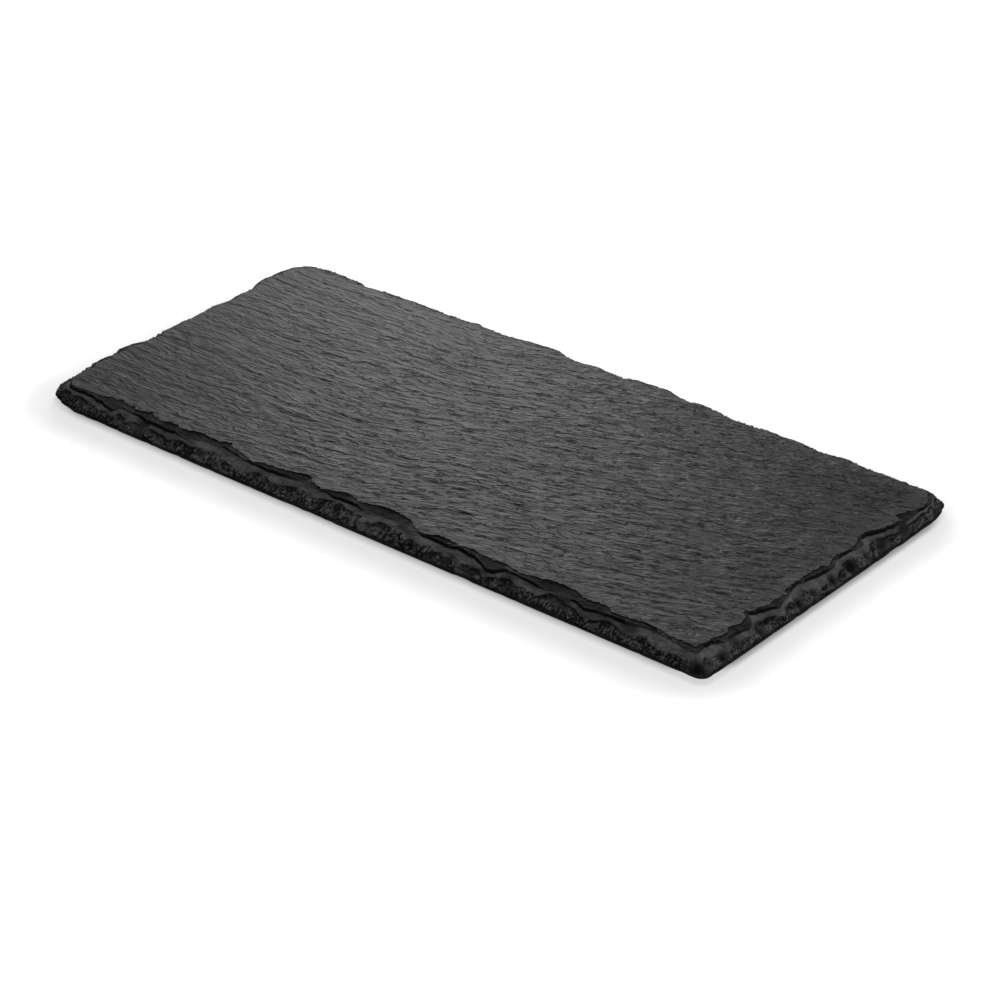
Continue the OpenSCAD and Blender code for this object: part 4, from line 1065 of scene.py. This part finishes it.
def grain_group():
    """Shader group: the fine grain that runs along the slate's ripples, and the masks of the painted
    shade in its clefts and the painted highlights on its lips.
    """
    tree = bpy.data.node_groups.new("Slate grain", "ShaderNodeTree")
    for name, default in (("Length", 2.6 * MM), ("Width", 1.1 * MM), ("Leaf Length", 10 * MM),
                          ("Leaf Width", 4.0 * MM), ("Leaf Height", 0.52 * MM),
                          ("Grain Height", 0.26 * MM), ("Seed", 3.0), ("Scale Length", 12 * MM),
                          ("Scale Width", 2.8 * MM), ("Scale Seed", 7.0)):
        group_socket(tree, name, "Float", default)
    group_socket(tree, "Vector", "Vector")
    for name in ("Height", "Tone", "Cleft", "Lip"):
        group_socket(tree, name, "Float", output=True)
    given = add_node(tree, "NodeGroupInput").outputs
    place, seed = given["Vector"], given["Seed"]
    lines = grain_lines(tree, place, seed)
    fine = stretched(tree, lines, given["Length"], given["Width"])
    grain = noise(tree, fine, seed, detail=2.5, roughness=0.55, distortion=0.4)
    broad = noise(tree, scaled(tree, place, BROAD_RATE), seed)
    patches = noise(tree, scaled(tree, place, PATCH_RATE), total(tree, seed, 2.0))
    clear = ramp(tree, patches, FAINT_PATCH, CLEAR_PATCH, FAINT_SHARE, 1.0)

    length, width = given["Scale Length"], given["Scale Width"]
    broad_scale = scales(tree, lines, length, width, given["Scale Seed"])
    fine_scale = scales(
        tree, lines, product(tree, length, FINE_SCALE), product(tree, width, FINE_SCALE), seed)
    heights = [product(tree, given["Grain Height"], GRAIN_SHARE, grain),
               product(tree, fine_scale, given["Grain Height"])]
    clefts = [ramp(tree, broad_scale, BROAD_CREASE, 0.0),
              product(tree, ramp(tree, fine_scale, FINE_CREASE, 0.0), FINE_CREASE_SHARE)]
    lips = []
    for share, clearness in ((1.0, clear), (SMALL_LEAF, SMALL_CLEARNESS)):
        leaf, relief = leaves(
            tree, lines, product(tree, given["Leaf Length"], share),
            product(tree, given["Leaf Width"], share), total(tree, seed, share))
        heights.append(product(tree, given["Leaf Height"], share, clearness, relief))
        clefts.append(product(tree, ramp(tree, leaf, CLEFT_END, CLEFT_DARK), clearness))
        lips.append(product(tree, ramp(tree, leaf, LIP_START, LIP_PALE),
                            ramp(tree, leaf, LIP_END, LIP_PALE), clearness))
    # Tone follows the fine grain, which also makes its height, so the grain's highs are painted paler;
    # Cleft masks painted shade and Lip painted highlights
    results = {"Height": total(tree, *heights), "Tone": weighted(tree, (grain, 0.5), (broad, 0.5)),
               "Cleft": highest(tree, *clefts), "Lip": highest(tree, *lips)}
    lively = liveliness(tree, place)
    add_node(tree, "NodeGroupOutput", {
        name: product(tree, value, lively) for name, value in results.items()})
    return tree


def speckle_group():
    """Shader group: small specks and a fine pitted height, for stone, rubber and film alike."""
    tree = bpy.data.node_groups.new("Specks", "ShaderNodeTree")
    for name, default in (("Size", STONE_SPECK), ("Amount", 0.3)):
        group_socket(tree, name, "Float", default)
    group_socket(tree, "Vector", "Vector")
    for name in ("Specks", "Height"):
        group_socket(tree, name, "Float", output=True)
    given = add_node(tree, "NodeGroupInput").outputs
    rate = calc(tree, "DIVIDE", 1.0, given["Size"])
    place = add_node(tree, "ShaderNodeVectorMath", {0: given["Vector"], "Scale": rate},
                     operation="SCALE").outputs[0]
    specks = ramp(tree, cells(tree, place), given["Amount"], 0.0)
    pits = noise(tree, place, seed=2.0, detail=3.0, roughness=0.6)
    add_node(tree, "NodeGroupOutput", {"Specks": specks, "Height": pits})
    return tree


def mixed(tree, share, first, second):
    """A colour between two, by a share."""
    # The sockets of a Mix node's colour mode are these, after those of its other modes
    inputs = {0: share, 6: first, 7: second}
    return add_node(tree, "ShaderNodeMix", inputs, data_type="RGBA").outputs[2]


def rgba(color, factor=1.0):
    """A colour times a factor, with full alpha."""
    return tuple(c * factor for c in color) + (1.0,)


def tinted(tree, tone, color, tints):
    """A colour's tint, from its darkest at tone 0 to its palest at tone 1."""
    return mixed(tree, tone, rgba(color, tints[0]), rgba(color, tints[1]))


def attribute(tree, name):
    """A named value of the mesh's points, for a material."""
    return add_node(tree, "ShaderNodeAttribute", attribute_name=name).outputs["Fac"]


def slate_material(slab, grain, specks):
    """Riven slate: a dark grey face with grain, painted shade in its clefts and painted highlights on
    its lips, and a hewn edge that painted shade makes near-black in places.
    """
    material, tree, shader = new_material("riven slate")
    place = object_place(tree)
    fine = placed_group(tree, grain, place, {
        "Scale Length": slab.ripple_length, "Scale Width": slab.ripple_width,
        "Scale Seed": slab.seed})
    speck = placed_group(tree, specks, place, {"Size": STONE_SPECK})
    hewn, rough, relief, ridge, shade = (
        attribute(tree, name) for name in ("hewn", "rough", "relief", "ridge", "shade"))

    # The face's tone: its grain and broad patches, with painted shade in the clefts and the relief's
    # lows, and painted highlights on the lips and its highs
    face_tone = weighted(tree, (fine["Tone"], 0.85), (relief, 0.2), (fine["Cleft"], -0.65),
                         (fine["Lip"], 0.4), base=0.55)
    face = tinted(tree, face_tone, slab.face_color, FACE_TINTS)
    # The crumbs' tone: random lumps, with painted shade in the pits and hollows of the shards, and
    # paler on their highs
    lumps = noise(tree, scaled(tree, place, CRUMB_TONE_RATE), seed=4.0)
    crumb_tone = weighted(tree, (speck["Height"], 2.0), (relief, 1.6), (lumps, 1.8), base=0.34)
    crumbs = tinted(tree, crumb_tone, slab.edge_color, CRUMB_TINTS)
    # The scars' tone: random patches, and a little painted shade in the fine pits
    patches = noise(tree, scaled(tree, place, SCAR_TONE_RATE), seed=5.0, detail=3.0,
                    roughness=0.6, distortion=0.5)
    scar_tone = weighted(tree, (speck["Height"], 0.5), (patches, 1.1), base=0.55)
    scars = tinted(tree, scar_tone, slab.edge_color, SCAR_TINTS)
    edge = mixed(tree, rough, scars, crumbs)
    # Pale specks and ridges on the rough band: crushed-stone dust, and painted glints and highlights
    glints = highest(tree, product(tree, ridge, 0.5), speck["Specks"])
    dust_and_glints = mixed(tree, product(tree, glints, rough), edge, rgba(slab.dust_and_glint_color))
    stone = mixed(tree, hewn, face, dust_and_glints)
    # The shade mask paints shade into the colour, down to a near-black tint
    shaded = mixed(tree, shade, stone, rgba(slab.edge_color, SHADE_TINT))
    link_into(tree, shaded, shader, "Base Color")

    sheen = product(tree, fine["Lip"], calc(tree, "SUBTRACT", 1.0, hewn))
    matt = highest(tree, shade, hewn, product(tree, fine["Cleft"], 0.6))
    roughness = weighted(tree, (sheen, -0.08), (matt, 0.42), base=0.53)
    link_into(tree, roughness, shader, "Roughness")
    shader.inputs["Specular IOR Level"].default_value = 0.12
    depth = calc(tree, "MULTIPLY_ADD", rough, ROUGH_PITS, STONE_PITS)
    set_bump(tree, total(tree, fine["Height"], product(tree, speck["Height"], depth)), shader)
    return material


def speckled_material(name, color, tints, contrast, specks, size, pits):
    """A finish whose tone and bump follow the same fine pits, with painted shade in the pits: the
    material, its tree and shader, and the tone."""
    material, tree, shader = new_material(name)
    speck = placed_group(tree, specks, object_place(tree), {"Size": size})
    # The tone follows the same pits as the bump: painted shade in the pits
    tone = calc(tree, "MULTIPLY_ADD", speck["Height"], contrast, 0.5)
    link_into(tree, tinted(tree, tone, color, tints), shader, "Base Color")
    set_bump(tree, product(tree, speck["Height"], pits), shader)
    return material, tree, shader, tone


def rubber_material(pads, specks):
    """Matt black rubber with a fine moulded stipple."""
    material, tree, shader, tone = speckled_material(
        "pad rubber", pads.rubber_color, RUBBER_TINTS, 0.3, specks, RUBBER_SPECK, RUBBER_PITS)
    roughness = ramp(tree, tone, 0.0, 1.0, to_low=0.78, to_high=0.92, smooth=False)
    link_into(tree, roughness, shader, "Roughness")
    return material


def film_material(pads, specks):
    """Milky acrylic adhesive film."""
    material, _, shader, _ = speckled_material(
        "adhesive film", pads.film_color, FILM_TINTS, 0.4, specks, FILM_SPECK, FILM_PITS)
    shader.inputs["Roughness"].default_value = 0.35
    return material


def shared_group(name, make):
    """A node group that is made once and shared."""
    return bpy.data.node_groups.get(name) or make()


def finish_piece(piece, material, node):
    """Sets a finished piece's material and smoothness, hangs it under the root body, and hides the CAD
    node that it stands for.
    """
    piece.data.materials.clear()
    piece.data.materials.append(material)
    piece.data.shade_smooth()
    piece.data.set_sharp_from_angle(angle=SHARP_ANGLE)
    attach(piece, "root")
    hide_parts(node)


class SLATEBOARD_OT_slab(bpy.types.Operator):
    """Build the riven slate slab"""

    bl_idname = "slateboard.slab"
    bl_label = "Slate slab"

    def execute(self, context):
        slab = context.scene.slate_slab
        material = slate_material(slab, shared_group("Slate grain", grain_group),
                                  shared_group("Specks", speckle_group))
        piece = add_object("riven_slab", slab_mesh(slab))
        values = {socket_name(setting): getattr(slab, setting) for setting in RIVEN_SIZES}
        with_nodes(piece, riven_tree(slab), {**values, "Seed": slab.seed, "Slate": material})
        finish_piece(piece, material, "slate_slab")
        return {"FINISHED"}


def circle(radius, sides):
    """Points in plan round a circle."""
    angles = [2 * math.pi * k / sides for k in range(sides)]
    return [(radius * math.cos(angle), radius * math.sin(angle)) for angle in angles]


def revolved(name, profile, centre, swell=None):
    """A closed turned solid: a profile of (radius, height) points whose ends lie on the axis. The
    swell is a factor on the radius, one for each side."""
    sides = TURNED_SIDES
    swell = np.ones(sides) if swell is None else swell
    points = [(centre[0], centre[1], profile[0][1])]
    for radius, height in profile[1:-1]:
        points += [(centre[0] + x * s, centre[1] + y * s, height)
                   for (x, y), s in zip(circle(radius, sides), swell)]
    points.append((centre[0], centre[1], profile[-1][1]))
    onward = [(k + 1) % sides for k in range(sides)]
    faces = [(0, 1 + onward[k], 1 + k) for k in range(sides)]
    low = 1
    for _ in profile[2:-1]:
        faces += [(low + k, low + onward[k], low + sides + onward[k], low + sides + k)
                  for k in range(sides)]
        low += sides
    faces += [(low + k, low + onward[k], len(points) - 1) for k in range(sides)]
    mesh = bpy.data.meshes.new(name)
    mesh.from_pydata(points, [], faces)
    mesh.validate()
    return mesh


def rounded(corner_in, corner_out, steps=4):
    """Points of a quarter round from one profile point to another, bulging outwards."""
    result = []
    for k in range(steps + 1):
        angle = math.pi / 2 * k / steps
        radius = corner_in[0] + (corner_out[0] - corner_in[0]) * math.sin(angle)
        height = corner_out[1] + (corner_in[1] - corner_out[1]) * math.cos(angle)
        result.append((radius, height))
    return result


class SLATEBOARD_OT_pads(bpy.types.Operator):
    """Build the four rubber pads"""

    bl_idname = "slateboard.pads"
    bl_label = "Rubber pads"

    def execute(self, context):
        pads = context.scene.slate_pads
        material = rubber_material(pads, shared_group("Specks", speckle_group))
        for place in PLACES:
            node = "foot_" + place
            low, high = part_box(node)
            outer = (high.x - low.x) / 2
            inner = outer - pads.chamfer
            foot = rounded((inner, low.z), (outer, low.z + pads.chamfer))
            head = rounded((inner, high.z), (outer, high.z - pads.chamfer))[::-1]
            dish = [(out * inner, low.z + depth * pads.dish) for out, depth in DISH_SHARES]
            profile = dish + foot + head + [(PAD_RING * inner, high.z), (0, high.z)]
            piece = add_object("pad_" + place, revolved("pad", profile, (low + high) / 2))
            finish_piece(piece, material, node)
        return {"FINISHED"}


class SLATEBOARD_OT_films(bpy.types.Operator):
    """Build the four adhesive discs"""

    bl_idname = "slateboard.films"
    bl_label = "Adhesive discs"

    def execute(self, context):
        pads = context.scene.slate_pads
        material = film_material(pads, shared_group("Specks", speckle_group))
        rng = np.random.default_rng(context.scene.slate_slab.seed)
        for place in PLACES:
            node = "adhesive_" + place
            low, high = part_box(node)
            outer = (high.x - low.x) / 2
            wave = pads.film_wave / outer
            full = outer / (1 + wave)
            bulge = FILM_BULGE * (high.z - low.z)
            profile = [(0, low.z), (FILM_RING * full, low.z), (full - bulge, low.z),
                       (full, low.z + bulge), (full, high.z - bulge),
                       (full - bulge, high.z), (FILM_RING * full, high.z), (0, high.z)]
            swell = 1 + wave * ragged(TURNED_SIDES, FILM_KINKS, rng)
            piece = add_object("film_" + place, revolved("film", profile, (low + high) / 2, swell))
            finish_piece(piece, material, node)
        return {"FINISHED"}


def past_rim(tree, place, drift_x, drift_y):
    """How far a place on the floor lies past the board's rim, as if the board lay so far off."""
    squares = []
    for value, drift, half in ((place[0], drift_x, SLAB_HIGH.x), (place[1], drift_y, SLAB_HIGH.y)):
        side = calc(tree, "ABSOLUTE", calc(tree, "SUBTRACT", value, drift))
        past = highest(tree, calc(tree, "SUBTRACT", side, half - SHADE_RADIUS), 0.0)
        squares.append(calc(tree, "POWER", past, 2.0))
    return calc(tree, "SUBTRACT", calc(tree, "SQRT", total(tree, *squares)), SHADE_RADIUS)


def floor_material(stage):
    """A pale floor that shows white and keeps the board's shadow, with a painted shadow round the
    board and under its rim.
    """
    material, tree, shader = new_material("pale floor")
    shader.inputs["Base Color"].default_value = rgba(stage.floor_color)
    shader.inputs["Roughness"].default_value = 0.9
    shader.inputs["Specular IOR Level"].default_value = 0.0
    place = split(tree, object_place(tree))
    # The glow that lifts the floor to white is dimmed near the board and more under its rim: a painted
    # shadow
    away = past_rim(tree, place, 0.0, -stage.glow_drift)
    rim = past_rim(tree, place, stage.contact_drift, 0.0)
    glow = total(tree, ramp(tree, away, stage.glow_near, stage.glow_far, stage.floor_glow, 1.0),
                 ramp(tree, rim, -stage.contact, 0.0, -stage.contact_shade, 0.0))
    ray = add_node(tree, "ShaderNodeLightPath").outputs
    seen = highest(tree, ray["Is Camera Ray"], ray["Is Glossy Ray"], ray["Is Transmission Ray"])
    shader.inputs["Emission Color"].default_value = (1, 1, 1, 1)
    link_into(tree, product(tree, seen, glow), shader, "Emission Strength")
    return material


def paint_sky(stage):
    """An even sky that shows white."""
    world = bpy.context.scene.world or bpy.data.worlds.new("sky")
    bpy.context.scene.world = world
    world.use_nodes = True
    tree = world.node_tree
    tree.nodes.clear()
    even = add_node(tree, "ShaderNodeBackground", {"Color": (1, 1, 1, 1), "Strength": stage.sky})
    add_node(tree, "ShaderNodeOutputWorld", {"Surface": even.outputs[0]})


def add_lamp(name, place, size, power):
    """A square soft box that faces the middle of the board."""
    lamp = bpy.data.lights.new(name, "AREA")
    lamp.shape = "SQUARE"
    lamp.size = size
    lamp.energy = power
    made = add_object(name, lamp)
    made.location = place
    made.rotation_euler = (-made.location).to_track_quat("-Z", "Y").to_euler()


class SLATEBOARD_OT_stage(bpy.types.Operator):
    """Set up the floor, the light and the camera"""

    bl_idname = "slateboard.stage"
    bl_label = "Stage"

    def execute(self, context):
        stage = context.scene.slate_stage
        scene = context.scene
        mesh = bpy.data.meshes.new("floor")
        ring = [(x, y, 0) for x, y in circle(stage.floor_radius, FLOOR_SIDES)]
        mesh.from_pydata(ring, [], [tuple(range(FLOOR_SIDES))])
        floor = add_object("floor", mesh)
        mesh.materials.append(floor_material(stage))
        paint_sky(stage)
        for name in ("top", "key", "side"):
            add_lamp(name, *(getattr(stage, name + end) for end in ("_place", "_size", "_power")))

        camera = add_object("camera", bpy.data.cameras.new("camera"))
        camera.data.lens = stage.lens
        level = math.cos(stage.elevation)
        back = (math.sin(stage.azimuth) * level, -math.cos(stage.azimuth) * level,
                math.sin(stage.elevation))
        camera.location = [t + stage.distance * b for t, b in zip(stage.target, back)]
        camera.rotation_euler = (math.pi / 2 - stage.elevation, 0, stage.azimuth)
        scene.camera = camera
        scene.view_settings.view_transform = "Standard"
        return {"FINISHED"}


class SLATEBOARD_PT_panel(bpy.types.Panel):
    """The board's settings and pieces in the 3D view's sidebar"""

    bl_label = "Slate board"
    bl_idname = "SLATEBOARD_PT_panel"
    bl_space_type = "VIEW_3D"
    bl_region_type = "UI"
    bl_category = "Slate board"

    def draw(self, context):
        """Lists the settings, each group above its own buttons."""
        scene = context.scene
        for settings, operators in (
                (scene.slate_slab, ("slateboard.slab",)),
                (scene.slate_pads, ("slateboard.pads", "slateboard.films")),
                (scene.slate_stage, ("slateboard.stage",))):
            box = self.layout.box()
            for name in settings.bl_rna.properties.keys():
                if name not in ("rna_type", "name"):
                    box.prop(settings, name)
            for operator in operators:
                box.operator(operator)


CLASSES = (SlabSettings, PadSettings, StageSettings, SLATEBOARD_OT_slab, SLATEBOARD_OT_pads,
           SLATEBOARD_OT_films, SLATEBOARD_OT_stage, SLATEBOARD_PT_panel)


def register():
    """Registers the classes, and gives the scene their settings."""
    for cls in CLASSES:
        bpy.utils.register_class(cls)
    bpy.types.Scene.slate_slab = PointerProperty(type=SlabSettings)
    bpy.types.Scene.slate_pads = PointerProperty(type=PadSettings)
    bpy.types.Scene.slate_stage = PointerProperty(type=StageSettings)


def unregister():
    """Takes away what register gave."""
    del bpy.types.Scene.slate_stage
    del bpy.types.Scene.slate_pads
    del bpy.types.Scene.slate_slab
    for cls in reversed(CLASSES):
        bpy.utils.unregister_class(cls)


def main():
    """Builds the board and the stage."""
    register()
    bpy.ops.slateboard.slab()
    bpy.ops.slateboard.pads()
    bpy.ops.slateboard.films()
    bpy.ops.slateboard.stage()


if __name__ == "__main__":
    main()
